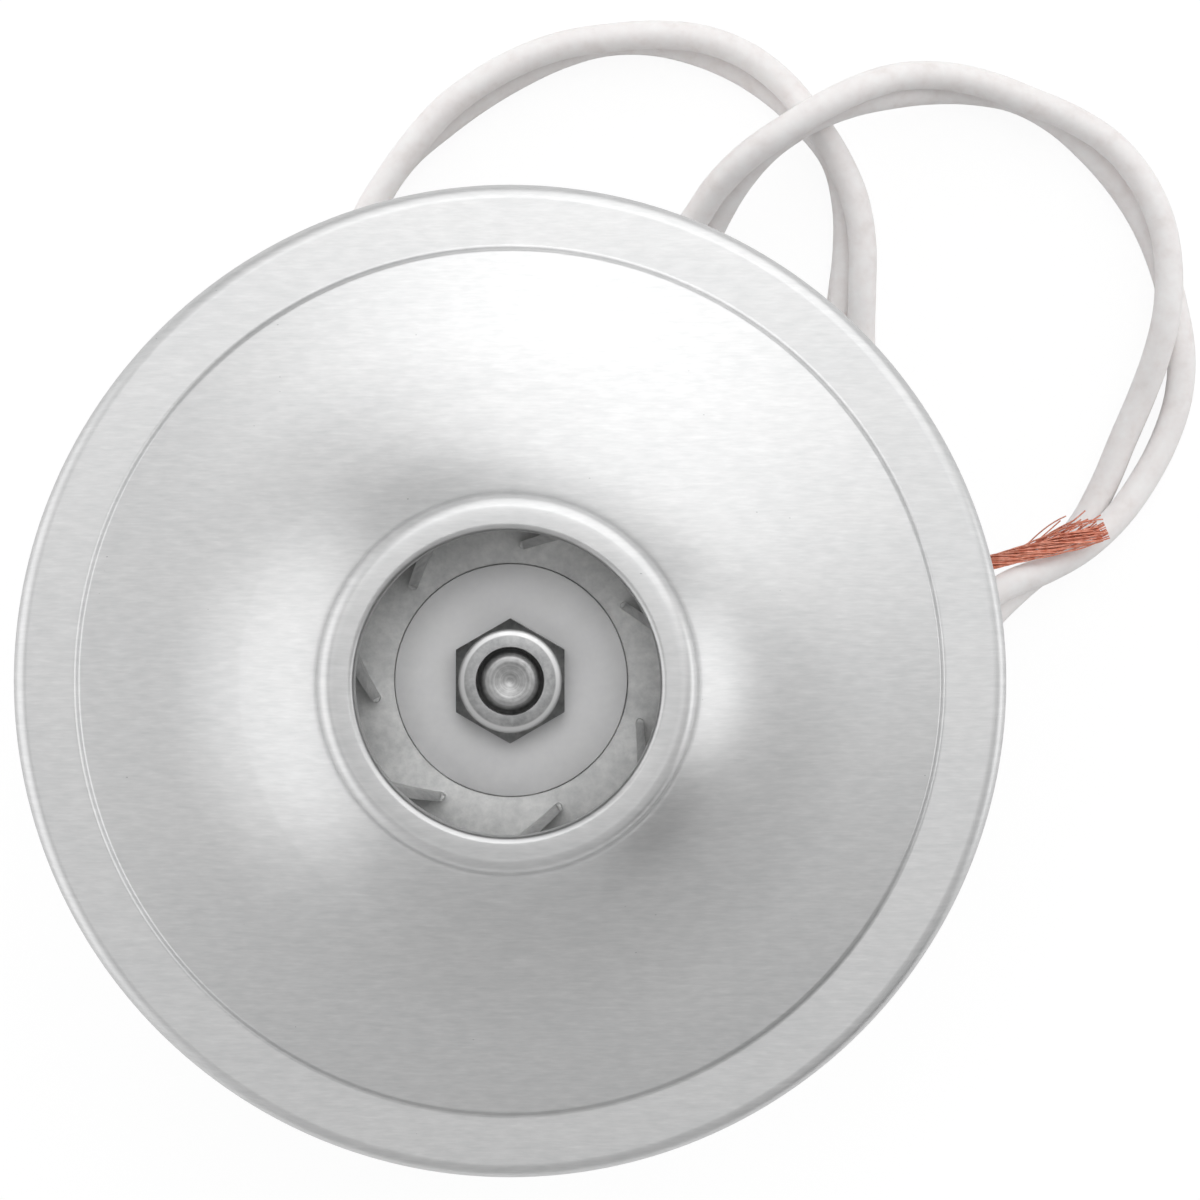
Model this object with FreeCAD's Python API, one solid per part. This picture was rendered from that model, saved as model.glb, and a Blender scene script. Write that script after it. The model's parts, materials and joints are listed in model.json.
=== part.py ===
import FreeCAD, Part
import math
import os

from FreeCAD import Vector

os.makedirs("parts", exist_ok=True)

# Flow-through vacuum cleaner motor: a one-stage fan on a two-pole commutator motor.
# Millimetres. The motor stands on its rear bearing boss with the fan cover up.
# The origin is on the shaft's axis at the foot of that boss, and +Z is the shaft.

# Clearances
SEAT_GAP = 0.05
RUNNING_GAP = 0.3
BEARING_GAP = 0.05
FAN_GAP = 1.8

# Bends in a turned sheet are chords of this many degrees, and half that in a wide bend
OUTSIDE_CHORD_DEG = 30.0
INSIDE_CHORD_DEG = 60.0
WIDE_BEND_R = 10.0

# How far a cutting body reaches past what it cuts
CUT_PAST = 1.0

# Fan cover, drawn from one sheet
OVERALL_HEIGHT = 112.0
COVER_OD = 119.0
COVER_SHEET = 1.0
COVER_CORNER_R = 1.8
COVER_DEPTH = 46.0
COVER_EDGE_R = 51.4
COVER_STEP_RUN = 0.5
COVER_STEP_DROP = 1.2
COVER_STEP_BEND_R = 0.6
INLET_R = 17.8
LIP_WIDTH = 4.4
LIP_INNER_BEND_R = 0.8
LIP_OUTER_BEND_R = 1.8
LIP_NECK = 5.0
CONE_FOOT_DROP = 3.1
CONE_FOOT_BEND_R = 0.8
CONE_KNEES_R = (27.0, 37.0)
CONE_SLOPES_DEG = (42.0, 23.0, 9.4)
CONE_BENDS_R = (30.0, 45.0)

# Impeller
FAN_OD = 101.0
FAN_SHEET = 0.9
FAN_EYE_GAP = 0.7
FAN_EYE_NECK = 2.4
FAN_OUTLET_HEIGHT = 7.1
FAN_BENDS_R = (5.0, 30.0, 40.0)
BACKPLATE_SHEET = 1.0
BLADE_COUNT = 7
BLADE_SHEET = 0.9
BLADE_ROOT_R = 15.8
BLADE_FIRST_DEG = 99.0
BLADE_MID_R = 30.0
BLADE_MID_SWEEP_DEG = 65.0
BLADE_TIP_SWEEP_DEG = 106.0
CLAMP_WASHER_OD = 28.2
CLAMP_WASHER_THICK = 2.0
SPACER_OD = 13.0
SPACER_FLANGE_THICK = 1.5
NUT_FLATS = 13.0
NUT_HEIGHT = 6.5
NUT_CHAMFER_DEG = 30.0
NUT_COLLAR_R = 6.0

# Shaft
SHAFT_CORE_R = 6.0
SHAFT_FRONT_R = 5.0
SHAFT_REAR_R = 4.0
THREAD_R = 4.0
THREAD_CHAMFER = 0.7
SHAFT_END_BELOW_NUT = 0.3
SHAFT_TAIL = 0.5
CENTRE_DRILL_R = 1.6
CENTRE_DRILL_DEPTH = 1.8

# Bearings
FRONT_BEARING_OD = 26.0
FRONT_BEARING_WIDTH = 8.0
REAR_BEARING_OD = 22.0
REAR_BEARING_WIDTH = 7.0
INNER_RING_WALL = 2.0
DAMPER_WALL = 1.4
SPRING_WASHER_SHEET = 0.4
SPRING_WASHER_HEIGHT = 1.5
SPRING_WASHER_WIDTH = 2.6

# Diffuser
DIFFUSER_GAP = 1.0
DIFFUSER_PLATE = 1.8
DIFFUSER_PLATE_R = 52.2
DIFFUSER_HOLE_R = 9.0
RETURN_HEIGHT = 8.0
VANE_COUNT = 13
VANE_SHEET = 1.5
VANE_INNER_R = 27.0
VANE_MID_R = 43.0
VANE_MID_SWEEP_DEG = 24.0
VANE_TIP_SWEEP_DEG = 50.0

# Front bracket
BRACKET_PLATE = 2.0
BRACKET_WALL = 1.5
CUP_WALL = 2.5
CUP_ROOF = 1.5
BELL_LAP = 3.0
BELL_SEAT = 2.0
FRONT_WINDOW_COUNT = 6
FRONT_WINDOW_R = (19.0, 35.0)
FRONT_WINDOW_DEG = 42.0

# Stator
STATOR_OD = 80.0
STATOR_FLAT_DEPTH = 2.5
STACK_DROP = 3.0
STACK_BOTTOM_Z = 37.0
YOKE_WIDTH = 7.0
POLE_HALF_WIDTH = 12.0
POLE_SHOE_THICK = 3.4
POLE_SHOE_DEG = 116.0
AIR_GAP = 0.6
COIL_OVERHANG = 7.5
COIL_SLACK = 0.6
COIL_SPLIT = 1.5

# Armature, as a share of the core's diameter
ARMATURE_SHARE = 0.5
SLOT_COUNT = 12
SLOT_MOUTH = 2.2
SLOT_INNER_R = 10.5
SLOT_TIP = 2.2
SLOT_INNER_WIDTH = 2.6
SLOT_OUTER_WIDTH = 5.6
SLOT_LINER = 0.25
WINDING_OVERHANG = 6.5
WINDING_HEAD_INSET = 1.6
WINDING_HEAD_CHAMFER = 2.5

# Commutator and brushes
COMMUTATOR_R = 12.0
COMMUTATOR_LENGTH = 15.0
COMMUTATOR_BOTTOM_Z = 14.5
RISER_R = 13.4
RISER_HEIGHT = 2.6
BAR_COUNT = 24
BAR_INNER_R = 8.0
BAR_SLIT = 0.45
HUB_OVERHANG = 1.0
BRUSH_Z = 21.5
BRUSH_WIDTH = 6.2
BRUSH_DEPTH = 9.0
BRUSH_PLAY = 0.1
BRUSH_TRAVEL = 4.0
HOLDER_WALL = 0.8
HOLDER_STANDOFF = 2.5
HOLDER_OVERHANG = 4.55
SPRING_SHUT_LENGTH = 12.0
CAP_THICK = 1.2
SPRING_R = 2.6
SPRING_WALL = 0.7
HOUSING_WALL = 2.0
HOUSING_DEPTH = 14.5
HOUSING_FLANGE = 2.0
HOUSING_FLANGE_HALF_WIDTH = 11.5
HOUSING_FLANGE_HALF_HEIGHT = 9.0
HOUSING_SCREW_X = 8.8
SMALL_SCREW_R = 1.25
SMALL_SCREW_HEAD_R = 2.4
SMALL_SCREW_HEAD = 1.6
SMALL_SCREW_LENGTH = 7.0

# Rear bracket
REAR_PLATE_Z = 9.0
REAR_PLATE = 3.0
REAR_BOSS_R = 15.2
REAR_BOSS_FLOOR = 2.0
REAR_ARM_WIDTH = 12.0
REAR_OPEN_R = 33.0
PAD_HALF_WIDTH = 13.0
PAD_DEPTH = 6.0
PAD_MARGIN = 1.0
ARM_GAP_MARGIN = 1.0
REAR_WINDOW_TOP_Z = 34.0
REAR_WINDOW_LOW_Z = 13.5
LEAD_WINDOW_LOW_Z = 21.0
# Each window: middle azimuth, width in degrees, lower Z
REAR_WINDOWS = (
    (0.0, 44.0, LEAD_WINDOW_LOW_Z),
    (180.0, 50.0, REAR_WINDOW_LOW_Z),
    (133.0, 26.0, REAR_WINDOW_LOW_Z),
    (313.0, 26.0, REAR_WINDOW_LOW_Z),
)
FRAME_SCREW_R = 2.0
FRAME_SCREW_INSET = 3.8
FRAME_SCREW_DEG = (45.0, 225.0)
FRAME_SCREW_HEAD_R = 3.5
FRAME_SCREW_HEAD = 2.6
FRAME_SCREW_BITE = 7.0
SCREW_BOSS_R = 3.5

# Leads
LEAD_D = 4.0
LEAD_SIDES = 8
LEAD_EXIT_Y = 2.6
LEAD_EXIT_Z = 14.0
GROMMET_HALF_WIDTH = 6.0
GROMMET_HALF_HEIGHT = 3.4
GROMMET_INSIDE = 4.5
GROMMET_OUTSIDE = 3.5
GROMMET_FLANGE = 1.6
GROMMET_FLANGE_THICK = 2.0
STRAND_BUNDLE_R = 0.95
STRAND_FAN = 1.9
STRAND_FLATNESS = 0.6

# Heights that follow from the sizes above, from the inlet lip down
cover_r = COVER_OD / 2
lip_outer_r = INLET_R + LIP_WIDTH
cone_foot_z = OVERALL_HEIGHT - CONE_FOOT_DROP
cone_radii = (lip_outer_r, *CONE_KNEES_R, COVER_EDGE_R)
cone_heights = [cone_foot_z]
for inner_r, outer_r, slope in zip(cone_radii, cone_radii[1:], CONE_SLOPES_DEG):
    cone_heights.append(cone_heights[-1] - (outer_r - inner_r) * math.tan(math.radians(slope)))
cover_face_z = cone_heights[-1] - COVER_STEP_DROP
shroud_rim_z = cone_heights[-1] - COVER_SHEET - FAN_GAP - FAN_SHEET
backplate_top_z = shroud_rim_z - FAN_OUTLET_HEIGHT
backplate_z = backplate_top_z - BACKPLATE_SHEET
nut_z = backplate_top_z + CLAMP_WASHER_THICK
shaft_top_z = nut_z + NUT_HEIGHT - SHAFT_END_BELOW_NUT
spacer_flange_z = backplate_z - SPACER_FLANGE_THICK
diffuser_top_z = spacer_flange_z - DIFFUSER_GAP
diffuser_plate_z = diffuser_top_z - DIFFUSER_PLATE
bracket_top_z = diffuser_plate_z - RETURN_HEIGHT
bracket_z = bracket_top_z - BRACKET_PLATE
cover_bottom_z = OVERALL_HEIGHT - COVER_DEPTH
stack_top_z = cover_bottom_z - STACK_DROP
stack_length = stack_top_z - STACK_BOTTOM_Z
cup_roof_z = diffuser_plate_z - 2 * CUP_ROOF
front_bearing_z = cup_roof_z - FRONT_BEARING_WIDTH
rear_bearing_z = REAR_BOSS_FLOOR + SPRING_WASHER_HEIGHT
fan_r = FAN_OD / 2
fan_eye_r = INLET_R + COVER_SHEET + FAN_EYE_GAP
yoke_inner_r = STATOR_OD / 2 - YOKE_WIDTH
armature_r = STATOR_OD * ARMATURE_SHARE / 2
slot_outer_r = armature_r - SLOT_TIP
winding_head_r = armature_r - WINDING_HEAD_INSET
pole_shoe_r = armature_r + AIR_GAP + POLE_SHOE_THICK
screw_circle_r = STATOR_OD / 2 - FRAME_SCREW_INSET
bracket_face_y = STATOR_OD / 2 + BRACKET_WALL
housing_inner_y = bracket_face_y - HOUSING_DEPTH
holder_end_y = bracket_face_y + HOLDER_OVERHANG
brush_end_y = holder_end_y - SPRING_SHUT_LENGTH - BRUSH_TRAVEL
grommet_inner_x = bracket_face_y - GROMMET_INSIDE
lead_exit_x = bracket_face_y + GROMMET_OUTSIDE
commutator_top_z = COMMUTATOR_BOTTOM_Z + COMMUTATOR_LENGTH

made = {}


def vec(r, z):
    """A point of a section, drawn in the XZ plane."""
    return Vector(r, 0, z)


def polar(r, degrees, z=0.0):
    """A point at a radius and an azimuth."""
    turned = math.radians(degrees)
    return Vector(r * math.cos(turned), r * math.sin(turned), z)


def rounded_edges(corners, radii):
    """Straight runs through the corners, joined by tangent arcs; a radius of 0 is sharp."""
    edges = []
    start = corners[0]
    for before, corner, after, radius in zip(corners, corners[1:], corners[2:], radii):
        back = (before - corner).normalize()
        ahead = (after - corner).normalize()
        half_turn = (math.pi - back.getAngle(ahead)) / 2
        reach = radius * math.tan(half_turn)
        arc_start = corner + back * reach
        if (arc_start - start).Length > 1e-6:
            edges.append(Part.LineSegment(start, arc_start).toShape())
        start = corner + ahead * reach
        if radius > 0:
            bisector = (back + ahead).normalize()
            middle = corner + bisector * (radius / math.cos(half_turn) - radius)
            edges.append(Part.Arc(arc_start, middle, start).toShape())
    edges.append(Part.LineSegment(start, corners[-1]).toShape())
    return edges


def offset_corners(corners, distance):
    """The corners of a section moved to the right of its direction, mitred."""
    moved = []
    runs = [(after - before).normalize() for before, after in zip(corners, corners[1:])]
    sides = [Vector(run.z, 0, -run.x) for run in runs]
    moved.append(corners[0] + sides[0] * distance)
    for corner, side, next_side in zip(corners[1:], sides, sides[1:]):
        mitre = side + next_side
        moved.append(corner + mitre * (2 * distance / mitre.dot(mitre)))
    moved.append(corners[-1] + sides[-1] * distance)
    return moved


def rounded_corners(corners, radii, chord_deg):
    """The corners of a section with each bend as short chords of its tangent arc."""
    points = [corners[0]]
    for before, corner, after, radius in zip(corners, corners[1:], corners[2:], radii):
        back = (before - corner).normalize()
        ahead = (after - corner).normalize()
        turn = math.pi - back.getAngle(ahead)
        if radius <= 0:
            points.append(corner)
            continue
        centre = corner + (back + ahead).normalize() * (radius / math.cos(turn / 2))
        spoke = corner + back * (radius * math.tan(turn / 2)) - centre
        leftward = back.cross(ahead).y > 0
        widest = chord_deg if radius < WIDE_BEND_R else chord_deg / 2
        chords = math.ceil(math.degrees(turn) / widest)
        for step in range(chords + 1):
            swing = math.degrees(turn) * step / chords * (1 if leftward else -1)
            points.append(centre + FreeCAD.Rotation(Vector(0, 1, 0), -swing).multVec(spoke))
    points.append(corners[-1])
    distinct = points[:1]
    for point in points[1:]:
        if (point - distinct[-1]).Length > 1e-4:
            distinct.append(point)
    return distinct


def drawn_sheet(corners, radii, sheet):
    """A turned sheet: the section's outside, and its inside one sheet to the right."""
    inside = offset_corners(corners, sheet)
    inside_radii = []
    for before, corner, after, radius in zip(corners, corners[1:], corners[2:], radii):
        turns_right = (corner - before).cross(after - corner).y > 0
        inside_radii.append(max(radius - sheet, 0.0) if turns_right else radius + sheet)
    outline = rounded_corners(corners, radii, OUTSIDE_CHORD_DEG)
    outline += rounded_corners(inside, inside_radii, INSIDE_CHORD_DEG)[::-1]
    return turned(Part.makePolygon(outline + outline[:1]))


def turned(wire):
    """A closed section turned about the shaft's axis."""
    return Part.Face(wire).revolve(Vector(), Vector(0, 0, 1), 360)


def turned_corners(*corners):
    """A turned piece from the (radius, z) corners of its section."""
    points = [vec(r, z) for r, z in corners]
    return turned(Part.makePolygon(points + points[:1]))


def ring(inner_r, outer_r, low_z, high_z):
    """A plain ring."""
    return turned_corners((inner_r, low_z), (outer_r, low_z), (outer_r, high_z), (inner_r, high_z))


def disc(radius, low_z, high_z):
    """A plain round bar."""
    return Part.makeCylinder(radius, high_z - low_z, Vector(0, 0, low_z))


def block(x, y, z):
    """A block between two bounds on each axis."""
    return Part.makeBox(x[1] - x[0], y[1] - y[0], z[1] - z[0], Vector(x[0], y[0], z[0]))


def sector(inner_r, outer_r, middle_deg, width_deg, low_z, high_z):
    """A piece of a ring between two azimuths."""
    first = middle_deg - width_deg / 2
    last = middle_deg + width_deg / 2
    edges = [
        Part.Arc(polar(outer_r, first), polar(outer_r, middle_deg), polar(outer_r, last)).toShape(),
        Part.LineSegment(polar(outer_r, last), polar(inner_r, last)).toShape(),
        Part.Arc(polar(inner_r, last), polar(inner_r, middle_deg), polar(inner_r, first)).toShape(),
        Part.LineSegment(polar(inner_r, first), polar(outer_r, first)).toShape(),
    ]
    face = Part.Face(Part.Wire(edges))
    face.translate(Vector(0, 0, low_z))
    return face.extrude(Vector(0, 0, high_z - low_z))


def around(shape, count, first_deg=0.0):
    """Copies of a shape, evenly spaced about the shaft's axis."""
    copies = []
    for index in range(count):
        copies.append(at_azimuth(shape, first_deg + 360.0 * index / count))
    return copies


def at_azimuth(shape, degrees):
    """A copy of a shape turned about the shaft's axis."""
    copy = shape.copy()
    copy.rotate(Vector(), Vector(0, 0, 1), degrees)
    return copy


def curved_strip(points, sheet, low_z, high_z):
    """An upright strip of sheet whose plan is an arc through three points."""
    arc = Part.Arc(*points).toShape().Curve
    centre = arc.Center
    outside = [centre + (p - centre) * ((arc.Radius + sheet / 2) / arc.Radius) for p in points]
    inside = [centre + (p - centre) * ((arc.Radius - sheet / 2) / arc.Radius) for p in points]
    edges = [
        Part.Arc(*outside).toShape(),
        Part.LineSegment(outside[-1], inside[-1]).toShape(),
        Part.Arc(*inside[::-1]).toShape(),
        Part.LineSegment(inside[0], outside[0]).toShape(),
    ]
    face = Part.Face(Part.Wire(edges))
    face.translate(Vector(0, 0, low_z))
    return face.extrude(Vector(0, 0, high_z - low_z))


def keep(name, shape):
    """Write one node."""
    if shape.ShapeType == "Compound" and len(shape.Solids) == 1:
        shape = shape.Solids[0]
    made[name] = shape
    shape.exportStep(f"parts/{name}.step")


# Fan cover


def make_fan_cover():
    """Bellmouth lip, trumpet cone, step down, flat seal ring, rounded corner and wall."""
    corners = [vec(INLET_R, OVERALL_HEIGHT - LIP_NECK), vec(INLET_R, OVERALL_HEIGHT)]
    radii = [LIP_INNER_BEND_R]
    corners.append(vec(lip_outer_r, OVERALL_HEIGHT))
    radii.append(LIP_OUTER_BEND_R)
    for r, z in zip(cone_radii, cone_heights):
        corners.append(vec(r, z))
    radii += [CONE_FOOT_BEND_R, *CONE_BENDS_R, COVER_STEP_BEND_R]
    corners.append(vec(COVER_EDGE_R + COVER_STEP_RUN, cover_face_z))
    corners.append(vec(cover_r, cover_face_z))
    corners.append(vec(cover_r, cover_bottom_z))
    radii += [COVER_STEP_BEND_R, COVER_CORNER_R]
    keep("fan_cover", drawn_sheet(corners, radii, COVER_SHEET))


# Impeller


def shroud_corners():
    """The outside of the impeller's front plate, from its eye to its rim."""
    rim = vec(fan_r, shroud_rim_z + FAN_SHEET)
    knees = []
    for radius, height in zip(CONE_KNEES_R, cone_heights[1:]):
        knees.append(vec(radius - FAN_GAP, height - COVER_SHEET - FAN_GAP))
    eye_r = fan_eye_r + FAN_SHEET
    slope = math.tan(math.radians(CONE_SLOPES_DEG[0]))
    foot = vec(eye_r, knees[0].z + (knees[0].x - eye_r) * slope * 0.7)
    return [vec(eye_r, foot.z + FAN_EYE_NECK), foot, *knees, rim]


def make_impeller():
    """Front plate, back plate and seven backward-curved blades between them."""
    outside = shroud_corners()
    keep("impeller_shroud", drawn_sheet(outside, FAN_BENDS_R, FAN_SHEET))
    bore_r = THREAD_R + SEAT_GAP
    keep("impeller_backplate", ring(bore_r, fan_r, backplate_z, backplate_top_z))

    underside = offset_corners(outside, FAN_SHEET + SEAT_GAP)
    under_radii = [FAN_BENDS_R[0] + FAN_SHEET, *(r + FAN_SHEET for r in FAN_BENDS_R[1:])]
    top = rounded_edges(underside[1:], under_radii[1:])
    top_start = underside[1]
    floor_z = backplate_top_z + SEAT_GAP
    tip = vec(fan_r - SEAT_GAP, underside[-1].z)
    floor_corners = [vec(tip.x, floor_z), vec(BLADE_ROOT_R, floor_z)]
    walls = Part.makePolygon([underside[-1], tip, *floor_corners, top_start])
    passage = turned(Part.Wire(top + walls.Edges))
    points = [
        polar(BLADE_ROOT_R - CUT_PAST, 3),
        polar(BLADE_MID_R, -BLADE_MID_SWEEP_DEG),
        polar(fan_r + CUT_PAST, -BLADE_TIP_SWEEP_DEG - 2),
    ]
    strip = curved_strip(points, BLADE_SHEET, backplate_z, OVERALL_HEIGHT)
    blade = strip.common(passage)
    keep("impeller_blades", Part.makeCompound(around(blade, BLADE_COUNT, BLADE_FIRST_DEG)))


def make_impeller_clamp():
    """Flanged spacer below the impeller, clamp washer and nut above it."""
    bore_r = THREAD_R + SEAT_GAP
    washer_r = CLAMP_WASHER_OD / 2
    keep("clamp_washer", ring(bore_r, washer_r, backplate_top_z, nut_z))
    spacer = turned_corners(
        (bore_r, cup_roof_z),
        (SPACER_OD / 2, cup_roof_z),
        (SPACER_OD / 2, spacer_flange_z),
        (washer_r, spacer_flange_z),
        (washer_r, backplate_z),
        (bore_r, backplate_z),
    )
    keep("impeller_spacer", spacer)

    corner_r = NUT_FLATS / 2 / math.cos(math.pi / 6)
    corners = [polar(corner_r, 30 + 60 * side, nut_z) for side in range(7)]
    nut = Part.Face(Part.makePolygon(corners)).extrude(Vector(0, 0, NUT_HEIGHT))
    bevel = (corner_r - NUT_COLLAR_R + CUT_PAST) * math.tan(math.radians(NUT_CHAMFER_DEG))
    top_z = nut_z + NUT_HEIGHT
    envelope = turned_corners(
        (bore_r, nut_z),
        (NUT_COLLAR_R, nut_z),
        (corner_r + CUT_PAST, nut_z + bevel),
        (corner_r + CUT_PAST, top_z - bevel),
        (NUT_COLLAR_R, top_z),
        (bore_r, top_z),
    )
    keep("impeller_nut", nut.common(envelope))


# Shaft and armature


def make_shaft():
    """Stepped shaft: rear journal, core seat, front journal and fan thread."""
    bottom_z = rear_bearing_z - SHAFT_TAIL
    rear_shoulder_z = rear_bearing_z + REAR_BEARING_WIDTH
    front_top_z = cup_roof_z - SHAFT_TAIL
    section = [
        (0, bottom_z),
        (SHAFT_REAR_R, bottom_z),
        (SHAFT_REAR_R, rear_shoulder_z),
        (SHAFT_CORE_R, rear_shoulder_z),
        (SHAFT_CORE_R, front_bearing_z),
        (SHAFT_FRONT_R, front_bearing_z),
        (SHAFT_FRONT_R, front_top_z),
        (THREAD_R, front_top_z),
        (THREAD_R, shaft_top_z - THREAD_CHAMFER),
        (THREAD_R - THREAD_CHAMFER, shaft_top_z),
        (CENTRE_DRILL_R, shaft_top_z),
        (0, shaft_top_z - CENTRE_DRILL_DEPTH),
    ]
    keep("shaft", turned_corners(*section))


def slot_outline(margin):
    """Half of a slot's outline, widening outwards to its lips."""
    inner_half = SLOT_INNER_WIDTH / 2 - margin
    outer_half = SLOT_OUTER_WIDTH / 2 - margin
    return SLOT_INNER_R + margin, slot_outer_r - margin, inner_half, outer_half


def make_armature():
    """Slotted core, and a winding with a bar in each slot and a head at each end."""
    inner_r, outer_r, inner_half, outer_half = slot_outline(0.0)
    mouth = SLOT_MOUTH / 2
    past = armature_r + CUT_PAST
    slot = [
        (inner_r, -inner_half),
        (outer_r, -outer_half),
        (outer_r, -mouth),
        (past, -mouth),
        (past, mouth),
        (outer_r, mouth),
        (outer_r, outer_half),
        (inner_r, inner_half),
    ]
    points = [Vector(x, y, STACK_BOTTOM_Z) for x, y in slot]
    slot_bar = Part.Face(Part.makePolygon(points + points[:1])).extrude(Vector(0, 0, stack_length))
    core = ring(SHAFT_CORE_R + SEAT_GAP, armature_r, STACK_BOTTOM_Z, stack_top_z)
    keep("armature_core", core.cut(around(slot_bar, SLOT_COUNT)))

    inner_r, outer_r, inner_half, outer_half = slot_outline(SLOT_LINER)
    bar = [(inner_r, -inner_half), (outer_r, -outer_half), (outer_r, outer_half), (inner_r, inner_half)]
    low_z = STACK_BOTTOM_Z - SLOT_LINER
    points = [Vector(x, y, low_z) for x, y in bar]
    bar_height = stack_length + 2 * SLOT_LINER
    wound = Part.Face(Part.makePolygon(points + points[:1])).extrude(Vector(0, 0, bar_height))
    winding = winding_head(stack_top_z + SLOT_LINER, WINDING_OVERHANG)
    winding = winding.fuse(around(wound, SLOT_COUNT))
    winding = winding.fuse(winding_head(STACK_BOTTOM_Z - SLOT_LINER, -WINDING_OVERHANG))
    bore = disc(SHAFT_CORE_R + RUNNING_GAP, 0, OVERALL_HEIGHT)
    keep("armature_winding", winding.cut(bore))


def winding_head(face_z, height):
    """The end turns: a head with one flat for each slot, narrower at its far end."""
    wide = winding_head_r / math.cos(math.pi / SLOT_COUNT)
    narrow = wide - WINDING_HEAD_CHAMFER
    shoulder_z = face_z + height * (1 - WINDING_HEAD_CHAMFER / WINDING_OVERHANG)
    rings = []
    for radius, z in ((wide, face_z), (wide, shoulder_z), (narrow, face_z + height)):
        corners = [polar(radius, 360 / SLOT_COUNT * (side + 0.5), z) for side in range(SLOT_COUNT + 1)]
        rings.append(Part.makePolygon(corners))
    return Part.makeLoft(rings, True, True)


def make_commutator():
    """Copper bars with risers, on a moulded hub."""
    pitch = 360.0 / BAR_COUNT
    width = pitch - math.degrees(BAR_SLIT / COMMUTATOR_R)
    riser_z = commutator_top_z - RISER_HEIGHT
    bar = sector(BAR_INNER_R, COMMUTATOR_R, 0, width, COMMUTATOR_BOTTOM_Z, riser_z)
    riser = sector(BAR_INNER_R, RISER_R, 0, width, riser_z, commutator_top_z)
    bar = bar.fuse(riser).removeSplitter()
    keep("commutator_bars", Part.makeCompound(around(bar, BAR_COUNT)))
    inner_r = SHAFT_CORE_R + SEAT_GAP
    outer_r = BAR_INNER_R - SEAT_GAP
    keep("commutator_hub", ring(inner_r, outer_r, COMMUTATOR_BOTTOM_Z - HUB_OVERHANG, commutator_top_z))


# Bearings


def make_bearing(name, bore_r, outer_d, low_z, width):
    """A shielded ball bearing as its inner ring and its outer ring with the shields."""
    high_z = low_z + width
    race_r = bore_r + INNER_RING_WALL
    keep(f"{name}_inner", ring(bore_r, race_r, low_z, high_z))
    keep(f"{name}_outer", ring(race_r + RUNNING_GAP, outer_d / 2, low_z, high_z))


def make_bearings():
    """Both bearings, with the rear one's rubber ring and spring washer."""
    make_bearing("front_bearing", SHAFT_FRONT_R + SEAT_GAP, FRONT_BEARING_OD, front_bearing_z,
                 FRONT_BEARING_WIDTH)
    make_bearing("rear_bearing", SHAFT_REAR_R + SEAT_GAP, REAR_BEARING_OD, rear_bearing_z,
                 REAR_BEARING_WIDTH)
    ring_inner = REAR_BEARING_OD / 2 + SEAT_GAP
    ring_outer = REAR_BEARING_OD / 2 + DAMPER_WALL - SEAT_GAP
    ring_top_z = rear_bearing_z + REAR_BEARING_WIDTH
    keep("rear_bearing_ring", ring(ring_inner, ring_outer, rear_bearing_z, ring_top_z))
    outer_r = REAR_BEARING_OD / 2
    inner_r = outer_r - SPRING_WASHER_WIDTH
    high_z = rear_bearing_z
    washer = turned_corners(
        (outer_r, REAR_BOSS_FLOOR),
        (inner_r, high_z - SPRING_WASHER_SHEET),
        (inner_r, high_z),
        (outer_r, REAR_BOSS_FLOOR + SPRING_WASHER_SHEET),
    )
    keep("rear_spring_washer", washer)


# Diffuser and brackets


def make_diffuser():
    """Plate under the impeller, with vanes that turn the air down and inwards."""
    outer_r = cover_r - COVER_SHEET - SEAT_GAP
    plate = ring(DIFFUSER_HOLE_R, DIFFUSER_PLATE_R, diffuser_plate_z, diffuser_top_z)
    points = [
        polar(VANE_INNER_R, 0),
        polar(VANE_MID_R, -VANE_MID_SWEEP_DEG),
        polar(outer_r + CUT_PAST, -VANE_TIP_SWEEP_DEG),
    ]
    strip = curved_strip(points, VANE_SHEET, bracket_top_z, diffuser_top_z)
    vane = strip.common(disc(outer_r, 0, OVERALL_HEIGHT))
    keep("diffuser", plate.fuse(around(vane, VANE_COUNT)).removeSplitter())


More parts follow.
